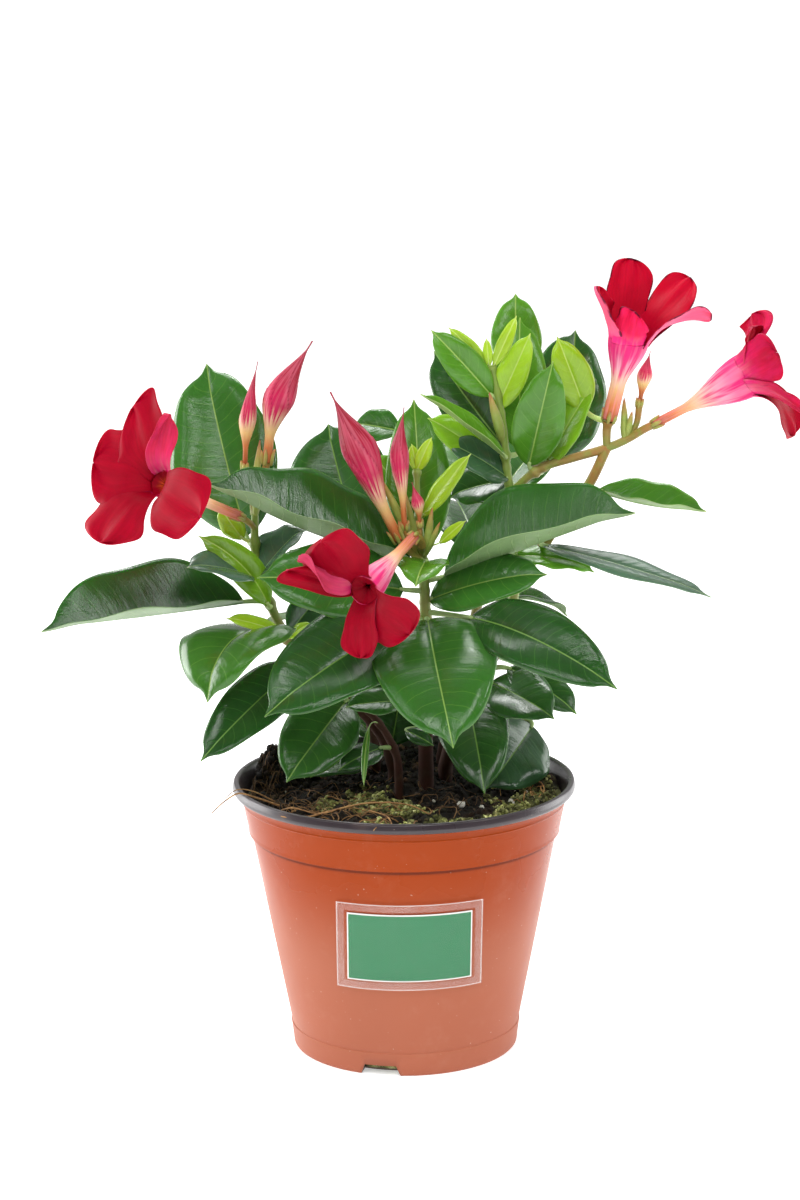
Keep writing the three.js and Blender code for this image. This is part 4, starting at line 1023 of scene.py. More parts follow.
def add_stems(piece, name):
    """The shoot's stems: tubes that taper from foot to top and swell where each leaf stalk leaves."""
    curves = shoot_curves(name)
    roots = [stalk_root(np.array(row[0], float), curves) for row in LEAVES[name]]
    for k, (foot, top, points) in enumerate(STEMS[name]):
        path = curves[k]
        share = np.linspace(0, 1, len(path))
        if k == 0:
            below = np.linspace(STEM_ROOT, points[0][2], 12, endpoint=False)
            down = np.column_stack([np.full(12, points[0][0]), np.full(12, points[0][1]), below])
            path, share = np.vstack([down, path]), np.concatenate([np.zeros(12), share])
        radius = foot + (top - foot) * share
        for root in roots:
            radius = radius + 0.32 * top * np.exp(-(np.linalg.norm(path - root, axis=1) / 1.6) ** 2)
        height = path[:, 2]
        # the value rises to 1 at the foot: real woody bark, and painted shade that turns the foot nearly black
        wood = (1 - smooth(height, 122, 205)) if k == 0 else np.full(len(path), 0.12)
        blush = np.full(len(path), 0.1) if k == 0 else 0.15 + 0.45 * share
        closed_tube(piece, sweep(path, radius, 18), 0, wood=wood, blush=blush)


def add_sepals(piece, seat, axis, radius, length, rng, spread=0.35, count=5):
    """Narrow pointed lobes round a seat: each leans out by the spread and tapers to its tip."""
    across, over = square_to(axis)
    t = np.linspace(0, 1, 12)[:, None]
    for k in range(count):
        angle = (k + rng.uniform(-0.2, 0.2)) / count * math.tau
        out = across * math.cos(angle) + over * math.sin(angle)
        reach = length * rng.uniform(0.8, 1.15)
        path = seat - axis * 1.2 + axis * reach * t + out * (radius + spread * reach * t ** 2)
        taper = 0.78 * np.sin(math.pi * (0.22 + 0.78 * t[:, 0])) ** 0.7 + 0.05
        closed_tube(piece, sweep(path, taper, 8), 1, along=t[:, 0], blush=0.5)


def add_young_bud(piece, row):
    """A small closed bud of green scales: a tube that swells to a third of its length and closes to a
    point, with three scales wound round it."""
    base, tip, radius = row
    t = np.linspace(0, 1, 30)
    path = np.array(base, float) + (np.array(tip, float) - np.array(base, float)) * t[:, None]
    around = full_turn(24)
    swell = np.interp(t, [0, 0.15, 0.35, 0.66, 0.9, 1], [0.5, 0.8, 1, 0.75, 0.35, 0.06])
    scales = 1 + 0.16 * ((3 * around / math.tau + 1.2 * t[:, None]) % 1.0)
    closed_tube(piece, sweep(path, radius * 0.92 * swell[:, None] * scales, 24), 1, along=t, blush=0.25)


# ------------------------------------------------------------------ buds and blooms

def add_bud(piece, row):
    """A furled bud: a slim tube that swells and closes to a point. Five petals wind round it, so its
    radius climbs along each petal and drops at the next one's seam."""
    points, widest_radius, widest, red = row
    path = stem_curve(points, 90)
    t = np.linspace(0, 1, 90)
    sides = 60
    rising = 0.3 + 0.7 * smooth(t, 0.16, widest)
    closing = np.maximum(1 - smooth(t, widest, 1.0) ** 0.8, 0.05)
    swell = np.where(t < widest, rising, closing)
    around = np.arange(sides) / sides
    seam = (5 * around[None, :] + 2.4 * t[:, None]) % 1.0
    furl = 1 + 0.1 * (seam - 0.5) * smooth(t, 0.25, 0.5)[:, None]
    rings = sweep(path, widest_radius * swell[:, None] * furl, sides)
    closed_tube(piece, rings, 0, along=t, seam=seam, red=red)


def bloom_frame(row):
    """Seat, depth and the three directions of a bloom: towards petal angle 0, square to it, and out."""
    seat, mouth, zero = (np.array(row[key], float) for key in ("seat", "mouth", "zero"))
    depth = np.linalg.norm(mouth - seat)
    axis = (mouth - seat) / depth
    right = unit(zero - axis * (zero @ axis))
    return seat, depth, np.stack([right, np.cross(axis, right), axis])


def funnel_radius(row, t):
    """The funnel's radius at a share t of its depth: an S-curve from the tube to the mouth."""
    opened = smooth((t - row["opens"] + 0.12) / (1.12 - row["opens"])) ** 0.9
    return row["tube"] + (row["mouth_radius"] - row["tube"]) * opened


def add_funnel(piece, row):
    """The bloom's tube and funnel: out to the rim by the funnel's S-curve, with five soft flutes, then
    back down a throat that narrows by another S-curve and folds in five."""
    seat, depth, frame_axes = bloom_frame(row)
    rim, sides, throat, narrowing = row["mouth_radius"], 90, 14.0, 4.0
    out, back = np.linspace(0, 1, 46), np.linspace(0, 1, 30) ** 1.5 * throat
    t = np.concatenate([out, 1 - back / depth])
    inside = np.concatenate([np.zeros(len(out)), np.ones(len(back))])
    closed = rim * (1 - 0.75 * smooth(back, 0, narrowing)) - 0.55
    radius = np.concatenate([funnel_radius(row, out), np.maximum(closed, 0.5)])
    angle = full_turn(sides)
    fold = np.concatenate([0.035 * smooth(out, row["opens"] - 0.1, 0.9), 0.3 * smooth(back, 0, narrowing)])
    radius = radius[:, None] * (1 + fold[:, None] * np.cos(5 * angle + 2.5 * t[:, None]))
    local = turned(radius, angle, (t * depth)[:, None])
    closed_tube(piece, seat + local @ frame_axes, 0, along=t, inner=inside, inset=9.0, warm=row["warm"],
                faded=0.0, tone=1.0)


def add_petal(piece, row, petal, rng, look):
    """A petal that grows out of the funnel's rim. Its midline leans out from the flare to the spread,
    then bends by the reflex. Across it the petal cups, twists, swirls sideways and ruffles towards its
    edge. Its end is blunt and slants: one shoulder grows further than the other."""
    seat, depth, frame_axes = bloom_frame(row)
    angle, length, width, spread, reflex, cup, twist, swirl, slant = petal
    rim = row["mouth_radius"]
    turn = math.radians(angle)
    radial = np.array([math.cos(turn), math.sin(turn), 0])
    around = np.array([-math.sin(turn), math.cos(turn), 0])
    axis = np.array([0, 0, 1.0])
    arc = math.radians(PETAL_ROOT_ARC)
    rows, columns = 40, 30
    s = np.sin(np.linspace(0, math.pi / 2, rows + 1))
    lean = np.radians(PETAL_FLARE + (spread - PETAL_FLARE) * smooth(s / 0.5) + reflex * s * s)
    step = length * np.diff(s)
    out = np.concatenate([[0], np.cumsum((np.sin(lean[1:]) + np.sin(lean[:-1])) / 2 * step)])
    ahead = np.concatenate([[0], np.cumsum((np.cos(lean[1:]) + np.cos(lean[:-1])) / 2 * step)])
    s, lean = s[:, None], lean[:, None]
    v = np.linspace(1, -1, columns + 1)[None, :]
    round_off = (1 - np.clip((s - 0.7) / 0.3, 0, 1) ** 2.6) ** 0.5
    root = rim * math.sin(arc)
    reach = np.maximum((root + (width / 2 - root) * smooth(s / 0.6)) * round_off, 0.3)
    normal = axis * np.sin(lean)[..., None] - radial * np.cos(lean)[..., None]
    tilt = math.radians(twist) * s
    side = around * np.cos(tilt)[..., None] + normal * np.sin(tilt)[..., None]
    front = normal * np.cos(tilt)[..., None] - around * np.sin(tilt)[..., None]
    centre = (radial * (rim - PETAL_ROOT_INSIDE + out)[:, None, None]
              + axis * (depth - PETAL_ROOT_BELOW + ahead)[:, None, None]
              + around * (swirl * length * s ** 2)[..., None])
    early, late = rng.uniform(0, ROUND, 2)
    ruffle = look.ruffle / MM * smooth(s, 0.3, 1.0) * (
        0.7 * np.sin(2.2 * math.pi * v + early) + np.abs(v) ** 3 * np.sin(math.tau * 1.7 * s + late))
    ragged = 1 + 0.05 * np.abs(v) * smooth(s, 0.15, 0.5) * np.sin(12 * s + np.where(v > 0, early, late))
    contort = 0.9 * v * (1 - smooth(s, 0.0, 0.6))
    crease = -0.2 * np.exp(-(v / 0.12) ** 2) * smooth(s, 0.1, 0.4)
    hollow = cup * reach * v ** 2 * smooth(s / 0.3) + ruffle + contort + crease
    inset = rim * (1 - np.cos(arc * v)) * (1 - smooth(s / 0.35))
    shoulder = slant * length * v * smooth(s, 0.2, 0.9) * round_off
    growing = radial * np.sin(lean)[..., None] + axis * np.cos(lean)[..., None]
    middle = (centre + side * (reach * v * ragged)[..., None] + front * hollow[..., None]
              - radial * inset[..., None] + growing * shoulder[..., None])
    thick = look.thickness / MM * (1 - 0.5 * s * v ** 2)
    away = sheet_normals(middle)
    upper = seat + (middle + away * (thick / 2)[..., None]) @ frame_axes
    lower = seat + (middle - away * (thick / 2)[..., None]) @ frame_axes
    uv = np.stack(np.broadcast_arrays(v * 0.14 + angle / 360, s), axis=-1)
    edge_distance = np.minimum((1 - np.abs(v)) * reach, (1 - s) * length)
    closed_sheet(piece, upper, lower, uv, (0, 0, 0), along=1 + s, inset=edge_distance, dry=row["dry"],
                 warm=row["warm"], faded=row["faded"] * min(1, abs(twist) / 50), tone=row["tone"],
                 inner=(float(abs(twist) < 100), 0.0))


# ------------------------------------------------------------------ pot

def wall_at(z):
    """Radius of the pot's straight wall at a height."""
    foot, top = POT["foot_radius"] + POT["foot_step"], POT["body_top_radius"]
    return foot + (top - foot) * (z - POT["foot_height"]) / (POT["collar_bottom"] - POT["foot_height"])


def collar_at(z):
    """Radius of the collar at a height."""
    low, high = POT["collar_radius"], POT["collar_top_radius"]
    return low + (high - low) * (z - POT["collar_bottom"]) / (POT["lip_bottom"] - POT["collar_bottom"])


def rounded(corners, steps=6):
    """A profile of (radius, height, round) whose corners become parabola arcs, each from one round before
    the corner to one round after it."""
    p = np.array(corners, float)
    corner, back, ahead = p[1:-1, :2], p[:-2, :2] - p[1:-1, :2], p[2:, :2] - p[1:-1, :2]
    room = 0.45 * np.minimum(np.linalg.norm(back, axis=1), np.linalg.norm(ahead, axis=1))
    cut = np.minimum(p[1:-1, 2], room)[:, None]
    start, end = corner + unit(back) * cut, corner + unit(ahead) * cut
    u = np.linspace(0, 1, steps)[None, :, None]
    arcs = (1 - u) ** 2 * start[:, None] + 2 * u * (1 - u) * corner[:, None] + u ** 2 * end[:, None]
    return np.vstack([p[:1, :2], arcs.reshape(-1, 2), p[-1:, :2]])


def pot_profile(steps):
    """The pot's profile from the middle of its foot, out, up, over the lip and back down inside to the
    middle of the floor. Returns it with the rows where the notches' outer and inner runs start, and the
    row where the terracotta ends under the lip. Both notch runs have the same number of steps."""
    foot, foot_height, wall, floor = POT["foot_radius"], POT["foot_height"], POT["wall"], POT["floor"]
    foot_top, inner_foot, height = foot + 1.2, foot - wall, POT["height"]
    top, inner, lip, low = NOTCH["height"], NOTCH["inner"], POT["lip_radius"], POT["lip_bottom"]
    outer_top = foot + (foot_top - foot) * (top - 0.8) / (foot_height - 1.0)
    inner_high = wall_at(foot_height) - wall
    inner_top = inner_foot + (inner_high - inner_foot) * (top - floor) / (foot_height - floor)
    base = np.stack([np.linspace(2, inner, 8, endpoint=False), np.zeros(8)], axis=1)
    outer_run = even_steps(rounded([(inner, 0, 0), (foot, 0, 1.2), (outer_top, top, 0)]), steps + 1)
    collar, bead = POT["collar_bottom"], COLLAR_BEAD
    outside = rounded([
        (outer_top, top, 0), (foot_top, foot_height - 0.2, 0.5), (wall_at(foot_height), foot_height, 0.4),
        (wall_at(collar - 1.6), collar - 1.6, 0.4), (wall_at(collar) - 0.35, collar - 0.9, 0.2),
        (wall_at(collar) - 0.2, collar - 0.3, 0.15), (collar_at(collar) + 0.2, collar - 0.1, 0.15),
        (collar_at(collar) + 0.25, collar + 0.6, 0.3), (collar_at(collar + 1.4), collar + 1.4, 0.4),
        (collar_at(bead), bead, 0.3), (collar_at(bead) + 0.4, bead + 0.3, 0.25),
        (collar_at(bead + 0.9), bead + 0.9, 0.3), (collar_at(low), low, 0.3)])
    over = rounded([
        (collar_at(low), low, 0), (lip - 0.7, low + 0.2, 0.7), (lip, low + 1.6, 1.2),
        (lip - 0.7, height, 1.8), (lip - 2.6, height - 0.1, 1.2), (collar_at(low) - wall, low, 1.4),
        (collar_at(collar) - wall, collar, 1.0), (inner_high, foot_height, 1.0), (inner_top, top, 0)])
    inner_run = even_steps(rounded([(inner_top, top, 0), (inner_foot, floor, 0.6), (inner, floor, 0)]),
                           steps + 1)
    floor_run = np.stack([np.linspace(inner, 2, 9)[1:], np.full(8, floor)], axis=1)
    start = len(base)
    lip_row = start + steps + len(outside) - 1
    inner_start = lip_row + len(over) - 1
    profile = np.vstack([base, outer_run, outside[1:], over[1:], inner_run[1:], floor_run])
    return profile, start, lip_row, inner_start


def pot_shape(piece):
    """The profile turned round the axis. Near the foot the columns draw together into the straight sides
    of the notches. There both walls are open, and quads join the outer rim of each notch to the inner.
    A notch is some steps high and two halves wide, within its sector of the columns."""
    steps, half, sector = 12, 6, 192 // NOTCH["count"]
    profile, start, lip_row, inner_start = pot_profile(steps)
    rows, columns = len(profile), sector * NOTCH["count"]
    local = (np.arange(columns) + sector // 2) % sector - sector // 2
    centre = -math.pi / 2 + NOTCH["turn"] + (np.arange(columns) - local) / columns * math.tau
    radius, z = profile[:, :1], profile[:, 1:]
    share = np.clip(z, 0, NOTCH["height"]) + 1
    width = NOTCH["width"] + (NOTCH["top_width"] - NOTCH["width"]) * share / (NOTCH["height"] + 1)
    reach = np.maximum(radius, NOTCH["inner"])
    plain = local / columns * math.tau
    edge = np.arcsin(width / 2 / reach)
    inside = np.arcsin(width / 2 * np.clip(local / half, -1, 1) / reach)
    sector_end = math.pi / NOTCH["count"]
    beyond = np.sign(local) * (edge + (sector_end - edge) * (np.abs(local) - half) / (sector / 2 - half))
    notched = np.where(np.abs(local) <= half, inside, beyond)
    away = smooth(z, NOTCH["height"], POT["foot_height"] + 4)
    angle = centre + notched * (1 - away) + plain * away
    points = turned(radius, angle, z)
    faces, places = grid_faces(rows, columns, around=True)
    row, column = faces[:, 0] // columns, faces[:, 0] % columns
    left = local[column]
    in_notch = (left >= -half) & (left < half)
    cut_rows = ((row >= start) & (row < start + steps)) | ((row >= inner_start) & (row < inner_start + steps))
    kept = ~(in_notch & cut_rows)
    dark = (row[kept] >= lip_row).astype(int)
    walls = []
    k = np.arange(steps)
    for notch in range(NOTCH["count"]):
        across = (notch * sector + np.arange(-half, half + 1)) % columns
        along = [(np.zeros(2 * half, int), across[:-1]), (k, np.full(steps, across[-1])),
                 (np.full(2 * half, steps), across[:0:-1]), (steps - k, np.full(steps, across[0]))]
        step = np.concatenate([rows_of for rows_of, _ in along])
        place = np.concatenate([columns_of for _, columns_of in along])
        outer = (start + step) * columns + place
        inner = (inner_start + steps - step) * columns + place
        walls.append(np.stack([outer, np.roll(outer, -1), np.roll(inner, -1), inner], axis=1))
    walls = np.concatenate(walls)
    j = np.arange(columns)
    after = (j + 1) % columns
    last = (rows - 1) * columns
    foot = np.stack([after, j, np.full(columns, rows * columns)], axis=1)
    floor = np.stack([last + j, last + after, np.full(columns, rows * columns + 1)], axis=1)
    middle = np.array([[0, 0, 0], [0, 0, POT["floor"]]], float)
    kept_faces, kept_places = faces[kept], places[kept][..., ::-1]
    shell = [(kept_faces[dark == side], side, kept_places[dark == side]) for side in (0, 1)]
    piece.add(np.concatenate([points.reshape(-1, 3), middle]),
              [*shell, (walls, 1, None), (foot, 0, None), (floor, 1, None)])


def plastic_finish(name, colour, rough, gloss):
    """Moulded plastic: faint flow marks, fine scratches, pale dust in patches, specks, a painted pale
    reflection of the floor that grows low down, and a painted shadow line under the collar."""
    material, tree = finish_of(name, {"Specular IOR Level": gloss})
    place = place_on(tree)
    flow = noise(tree, place, 26.0)
    level = new_node(tree, "ShaderNodeSeparateXYZ", {"Vector": place}).outputs[2]
    # painted light: the pale layer that grows below 9 cm stands in for the white floor's light on the low part of the
    # pot; the noise on top adds patches of real dust
    dust_and_painted_bounce = calc(tree, "ADD", rise(tree, level, 0.04, 0.09, 0.22, 0.0),
                rise(tree, noise(tree, place, 55.0, 5.0, 0.7), 0.5, 0.78, 0.0, 0.06))
    specks = times(tree, rise(tree, noise(tree, place, 900.0, 1.0), 0.77, 0.8), 0.5)
    # painted shadow: a dark line just under the collar's ledge, where the ledge shades the wall
    painted_collar_shadow = times(tree, rise(tree, level, 0.0889, 0.0898), rise(tree, level, 0.0906, 0.0909, 1.0, 0.0), 0.6)
    body = layered(tree, multiplied(tree, colour, mottled(tree, place, 18.0, 0.09)),
                   (dust_and_painted_bounce, (0.62, 0.38, 0.28)), (specks, (0.62, 0.5, 0.4)), (painted_collar_shadow, (0.1, 0.02, 0.01)))
    flat = new_node(tree, "ShaderNodeMapping", {"Vector": place, "Scale": (1.0, 1.0, 14.0)}).outputs[0]
    height = calc(tree, "MULTIPLY_ADD", noise(tree, flat, 90.0, 4.0), 0.5, times(tree, flow, 0.8))
    worn = calc(tree, "MULTIPLY_ADD", dust_and_painted_bounce, 0.7, rise(tree, flow, 0.3, 0.7, rough - 0.04, rough + 0.06))
    coat(tree, {"Base Color": body, "Roughness": worn, "Normal": bump(tree, height, 0.12, 0.0006)})
    return material


# ------------------------------------------------------------------ soil

def soil_height(x, y):
    """The soil's level, two waves, the heaps (each a bell of its height and spread) and small lumps."""
    waves = np.sin(x * 0.31 + 1.3) * np.cos(y * 0.27) + 0.6 * np.sin(x * 0.52 - y * 0.44 + 0.7)
    heaps = sum(height * np.exp(-((x - hx) ** 2 + (y - hy) ** 2) / spread ** 2)
                for hx, hy, height, spread in HEAPS)
    lumps = 0.9 * patchwork(x + 90, y + 90, 5.1, 3) + 0.5 * patchwork(x + 90, y + 90, 2.3, 4)
    return SOIL["level"] + SOIL["roughness"] * waves + heaps + lumps


def mossy(x, y):
    """How mossy the soil is, from 0 to 1: in patches, most in front and to the right."""
    patches = patchwork(x + 90, y + 90, 11.0, 5) + 0.7 * patchwork(x + 90, y + 90, 4.0, 6)
    region = 0.75 * smooth(-y, -15, 30) * smooth(x, -55, -5) + 0.3 * smooth(x, 20, 50) - 0.55
    return smooth(patches * 0.5 + region, -0.1, 0.35)


def soil_edge(z):
    """The soil's radius at a height: just inside the pot's wall."""
    outside = collar_at(z) if z > POT["collar_bottom"] else wall_at(z)
    return outside - POT["wall"] - SOIL["gap"]


def add_soil_bed(piece):
    """Rings of points: three up the pot's inside, then the top, which follows the soil's height."""
    around, across = 300, 110
    foot, collar = POT["foot_height"], POT["collar_bottom"]
    angle = full_turn(around)
    floor = POT["floor"] + SOIL["gap"]
    low = np.array([[POT["foot_radius"] - POT["wall"] - 1.0, floor], [soil_edge(foot) - 0.2, foot],
                    [soil_edge(collar) - 1.2, collar]])
    radii = np.concatenate([low[:, 0], soil_edge(SOIL["level"]) * np.linspace(1, 0.01, across)])
    x, y = radii[:, None] * np.cos(angle), radii[:, None] * np.sin(angle)
    z = soil_height(x, y)
    z[:3] = low[:, 1:]
    rings = np.stack([x, y, z], axis=-1)
    closed_tube(piece, rings, 0, moss=mossy(x, y), tone=1.0)


GOLDEN = (1 + math.sqrt(5)) / 2
ICOSAHEDRON = unit(np.array([
    [-1, GOLDEN, 0], [1, GOLDEN, 0], [-1, -GOLDEN, 0], [1, -GOLDEN, 0], [0, -1, GOLDEN], [0, 1, GOLDEN],
    [0, -1, -GOLDEN], [0, 1, -GOLDEN], [GOLDEN, 0, -1], [GOLDEN, 0, 1], [-GOLDEN, 0, -1], [-GOLDEN, 0, 1]]))
ICOSAHEDRON_FACES = np.array([
    [0, 11, 5], [0, 5, 1], [0, 1, 7], [0, 7, 10], [0, 10, 11], [1, 5, 9], [5, 11, 4], [11, 10, 2],
    [10, 7, 6], [7, 1, 8], [3, 9, 4], [3, 4, 2], [3, 2, 6], [3, 6, 8], [3, 8, 9], [4, 9, 5], [2, 4, 11],
    [6, 2, 10], [8, 6, 7], [9, 8, 1]])


def add_lumps(piece, centres, sizes, rng, dents, **values):
    """A small lump at each centre: an icosahedron stretched, turned and dented at random."""
    count = len(centres)
    turns, _ = np.linalg.qr(rng.normal(size=(count, 3, 3)))
    turns[:, :, 0] *= np.linalg.det(turns)[:, None]
    stretch = rng.uniform(0.65, 1.2, (count, 1, 3))
    dented = ICOSAHEDRON * rng.uniform(1 - dents, 1 + dents, (count, 12, 1)) * stretch
    points = centres[:, None] + (dented @ turns) * sizes[:, None, None]
    faces = (ICOSAHEDRON_FACES + 12 * np.arange(count)[:, None, None]).reshape(-1, 3)
    spread = {name: np.repeat(np.broadcast_to(value, count), 12) for name, value in values.items()}
    piece.add(points, [(faces, 0, None)], **spread)


def on_soil(x, y, sunk):
    """Points on the soil's surface, lowered by sunk."""
    return np.stack([x, y, soil_height(x, y) - sunk], axis=-1)


def inside_rim(rng, count):
    """Places spread evenly over the soil."""
    radius = (soil_edge(SOIL["level"]) - 2.5) * np.sqrt(rng.uniform(0, 1, count))
    angle = rng.uniform(0, math.tau, count)
    return radius * np.cos(angle), radius * np.sin(angle)


def add_fibre(piece, rng, start, heading, length, thick, curl, lift, tone=1.0):
    """A root fibre on the soil: its heading swings with two sine waves, and it rises and dips."""
    t = np.linspace(0, 1, 26)
    swing = curl * (np.sin(4.2 * t + rng.uniform(0, ROUND)) + 0.5 * np.sin(11 * t + rng.uniform(0, ROUND)))
    direction = heading + swing
    step = length / 25
    x = start[0] + np.cumsum(np.cos(direction)) * step
    y = start[1] + np.cumsum(np.sin(direction)) * step
    far = np.hypot(x, y)
    pull = np.minimum(1, (soil_edge(SOIL["level"]) - 1.5) / np.maximum(far, 1))
    x, y = x * pull, y * pull
    rise_by = lift * np.abs(np.sin(3.1 * t + rng.uniform(0, ROUND))) * np.sin(math.pi * t) + 0.5
    path = np.stack([x, y, soil_height(x, y) + rise_by], axis=1)
    closed_tube(piece, sweep(path, thick * (1 - 0.6 * t), 6), 0, tone=tone * rng.uniform(0.6, 1.3))


def soil_finish():
    """Peat: nearly black and rough, browner in places, and yellow-green to olive where moss grows."""
    material, tree = finish_of("peat and moss", {"Specular IOR Level": 0.25})
    place = place_on(tree)
    grain, broad = noise(tree, place, 420.0, 5.0, 0.7), noise(tree, place, 75.0)
    peat = ramp(tree, grain, [(0.35, (0.002, 0.0015, 0.001)), (0.58, (0.012, 0.008, 0.005)),
                              (0.8, (0.07, 0.042, 0.024))])
    green = ramp(tree, grain, [(0.3, (0.05, 0.055, 0.012)), (0.5, (0.2, 0.21, 0.06)),
                               (0.75, (0.62, 0.6, 0.32))])
    share = times(tree, value_of(tree, "moss"), rise(tree, broad, 0.36, 0.56, 0.35, 1.0))
    colour = layered(tree, peat, (rise(tree, broad, 0.52, 0.7, 0.0, 0.45), (0.04, 0.018, 0.01)),
                     (share, green))
    coat(tree, {"Base Color": multiplied(tree, colour, value_of(tree, "tone")),
                "Roughness": rise(tree, grain, 0.3, 0.7, 0.75, 0.98),
                "Normal": bump(tree, grain, 0.9, 0.0012)})
    return material


def fibre_finish():
    """Root fibres: tan, with darker stretches."""
    material, tree = finish_of("root fibre", {"Specular IOR Level": 0.3})
    grain = noise(tree, place_on(tree), 320.0)
    tan = ramp(tree, grain, [(0.3, (0.1, 0.04, 0.015)), (0.6, (0.33, 0.18, 0.07)),
                             (0.85, (0.5, 0.33, 0.16))])
    coat(tree, {"Base Color": multiplied(tree, tan, value_of(tree, "tone")),
                "Roughness": rise(tree, grain, 0.3, 0.7, 0.6, 0.85),
                "Normal": bump(tree, grain, 0.5, 0.0004)})
    return material


def perlite_finish():
    """Perlite: off-white, pitted and matte."""
    material, tree = finish_of("perlite", {"Specular IOR Level": 0.3})
    pits = noise(tree, place_on(tree), 900.0, 4.0, 0.7)
    coat(tree, {"Base Color": ramp(tree, pits, [(0.3, (0.4, 0.36, 0.28)), (0.6, (0.8, 0.78, 0.7))]),
                "Roughness": rise(tree, pits, 0.3, 0.7, 0.6, 0.9),
                "Normal": bump(tree, pits, 0.8, 0.0006)})
    return material


# ------------------------------------------------------------------ label

def add_label(piece, width, bottom, top, near, far, wrinkle):
    """A sheet bent round the pot's wall: each row lies at the wall's radius, near on the inner side and
    far on the outer, with wrinkles of a tenth of a millimetre or so."""
    rows, columns = 40, 72
    z = np.linspace(bottom, top, rows + 1)[:, None]
    share = np.linspace(-0.5, 0.5, columns + 1)[None, :]
    angle = math.radians(LABEL["turn"] - 90) + width / wall_at(z) * share
    folds = wrinkle * patchwork(share * width + 90, z * np.ones_like(share), 7.0, 8)
    uv = np.stack(np.broadcast_arrays(share + 0.5, (z - bottom) / (top - bottom)), axis=-1)
    inset = np.minimum((0.5 - np.abs(share)) * width, np.minimum(z - bottom, top - z))
    outer, inner = (turned(wall_at(z) + lift + folds, angle, z) for lift in (far, near))
    closed_sheet(piece, outer, inner, uv, (0, 0, 0), inset=inset)


def card_finish(colour, border):
    """Coated card: one plain colour with a thin white border, and a faint paper grain."""
    material, tree = finish_of("green card", {"Specular IOR Level": 0.2, "Coat Weight": 0.1,
                                              "Coat Roughness": 0.12})
    place = place_on(tree)
    edge = rise(tree, value_of(tree, "inset"), border - 0.12, border + 0.12, 1.0, 0.0)
    plain = multiplied(tree, colour, mottled(tree, place, 150.0, 0.05))
    paper = noise(tree, place, 2400.0)
    coat(tree, {"Base Color": blend(tree, edge, plain, (0.84, 0.85, 0.83)),
                "Roughness": rise(tree, paper, 0.3, 0.7, 0.36, 0.46),
                "Normal": bump(tree, paper, 0.08, 0.0002)})
    return material


def film_finish(haze):
    """Clear film: nearly see-through with a faint haze, and painted highlights along its cut edge and on its creases.
    """
    material, tree = finish_of("clear film", {"Base Color": (0.74, 0.66, 0.64), "Specular IOR Level": 0.6})
    inset = value_of(tree, "inset")
    crease = noise(tree, place_on(tree), 110.0)
    # the haze is strongest in the margin beyond the card, and it is whiter where the crease pattern runs high, a
    # painted highlight on the creases
    cloud = times(tree, rise(tree, inset, 2.9, 3.4, 1.0, 0.12),
                  rise(tree, crease, 0.3, 0.75, haze * 0.8, haze * 1.3))
    # painted highlight: the pale film shows within half a millimetre of the cut edge, standing in for the light that
    # the edge catches
    coat(tree, {"Alpha": calc(tree, "ADD", rise(tree, inset, 0.15, 0.5, 0.4, 0.0), cloud, clamp=True),
                "Roughness": rise(tree, crease, 0.3, 0.7, 0.06, 0.16),
                "Normal": bump(tree, crease, 0.2, 0.0005)})
    return material


# ------------------------------------------------------------------ stage

AIM = Vector((0, 0, 0.2))  # what the lights look at, in metres
KEY_PLACE = (-0.3, -0.9, 1.6)

# soft boxes: name, place and size in metres, and share of the power in the settings
SOFT_BOXES = [
    ["left panel", (-1.0, -0.65, 0.95), 0.6, 0.1],
    ["left box", (-0.98, -0.6, 0.85), 0.15, 0.04],
    ["front box", (-0.67, -1.15, 1.0), 0.25, 0.2],
    ["high box", (-0.17, -1.19, 0.93), 0.3, 0.2],
    ["right panel", (0.3, -1.05, 1.16), 0.5, 0.55],
    ["right box", (1.05, -0.65, 0.95), 0.3, 0.35],
    ["top panel", (-0.14, 0.77, 1.36), 1.0, 1.5],
    ["top box", (-0.14, 0.75, 1.35), 0.25, 0.35],
    ["left strip", (-0.9, 0.4, 0.3), 0.6, 0.8],
    ["right strip", (0.9, 0.4, 0.3), 0.6, 0.5],
]

# the camera: place in metres; heading, tilt below the horizon and roll in radians; lens and sensor in
# millimetres
CAMERA = {"place": (0, -1.3, 0.47135), "heading": 0.00086, "tilt": 0.21611, "roll": -0.0068, "lens": 99.02,
          "sensor": 36.0}


def pale_floor(look, radius=30, sides=96):
    """A wide round floor with a faintly mottled finish that glows a little."""
    mesh = bpy.data.meshes.new("floor")
    mesh.from_pydata(turned(radius, full_turn(sides), 0.0).tolist(), [], [list(range(sides))])
    material, tree = finish_of("pale floor", {"Specular IOR Level": 0.2, "Roughness": 0.8,
                                              "Emission Color": (1, 1, 1), "Emission Strength": look.glow})
    grain = mottled(tree, place_on(tree), 8.0, 0.01)
    coat(tree, {"Base Color": multiplied(tree, tuple(look.floor), grain)})
    mesh.materials.append(material)
    return bpy.data.objects.new("floor", mesh)


def white_surroundings(look):
    """A white world whose light is stronger behind the plant than in front, and plain white to look at."""
    world = bpy.data.worlds.new("white surroundings")
    world.use_nodes = True
    tree = world.node_tree
    towards = new_node(tree, "ShaderNodeTexCoord").outputs["Generated"]
    back = new_node(tree, "ShaderNodeSeparateXYZ", {"Vector": towards}).outputs[1]
    seen = new_node(tree, "ShaderNodeLightPath").outputs["Is Camera Ray"]
    lit = rise(tree, back, -0.45, 0.35, look.front_sky, look.sky)
    background = tree.nodes["Background"].inputs
    feed(tree, background["Color"], (1, 1, 1))
    feed(tree, background["Strength"], calc(tree, "MAXIMUM", lit, seen))
    return world


def put_light(scene, light, place):
    """A light at a place, turned to face the plant."""
    lamp = bpy.data.objects.new(light.name, light)
    lamp.location = place
    lamp.rotation_euler = (Vector(place) - AIM).to_track_quat("Z", "Y").to_euler()
    scene.collection.objects.link(lamp)
    return lamp


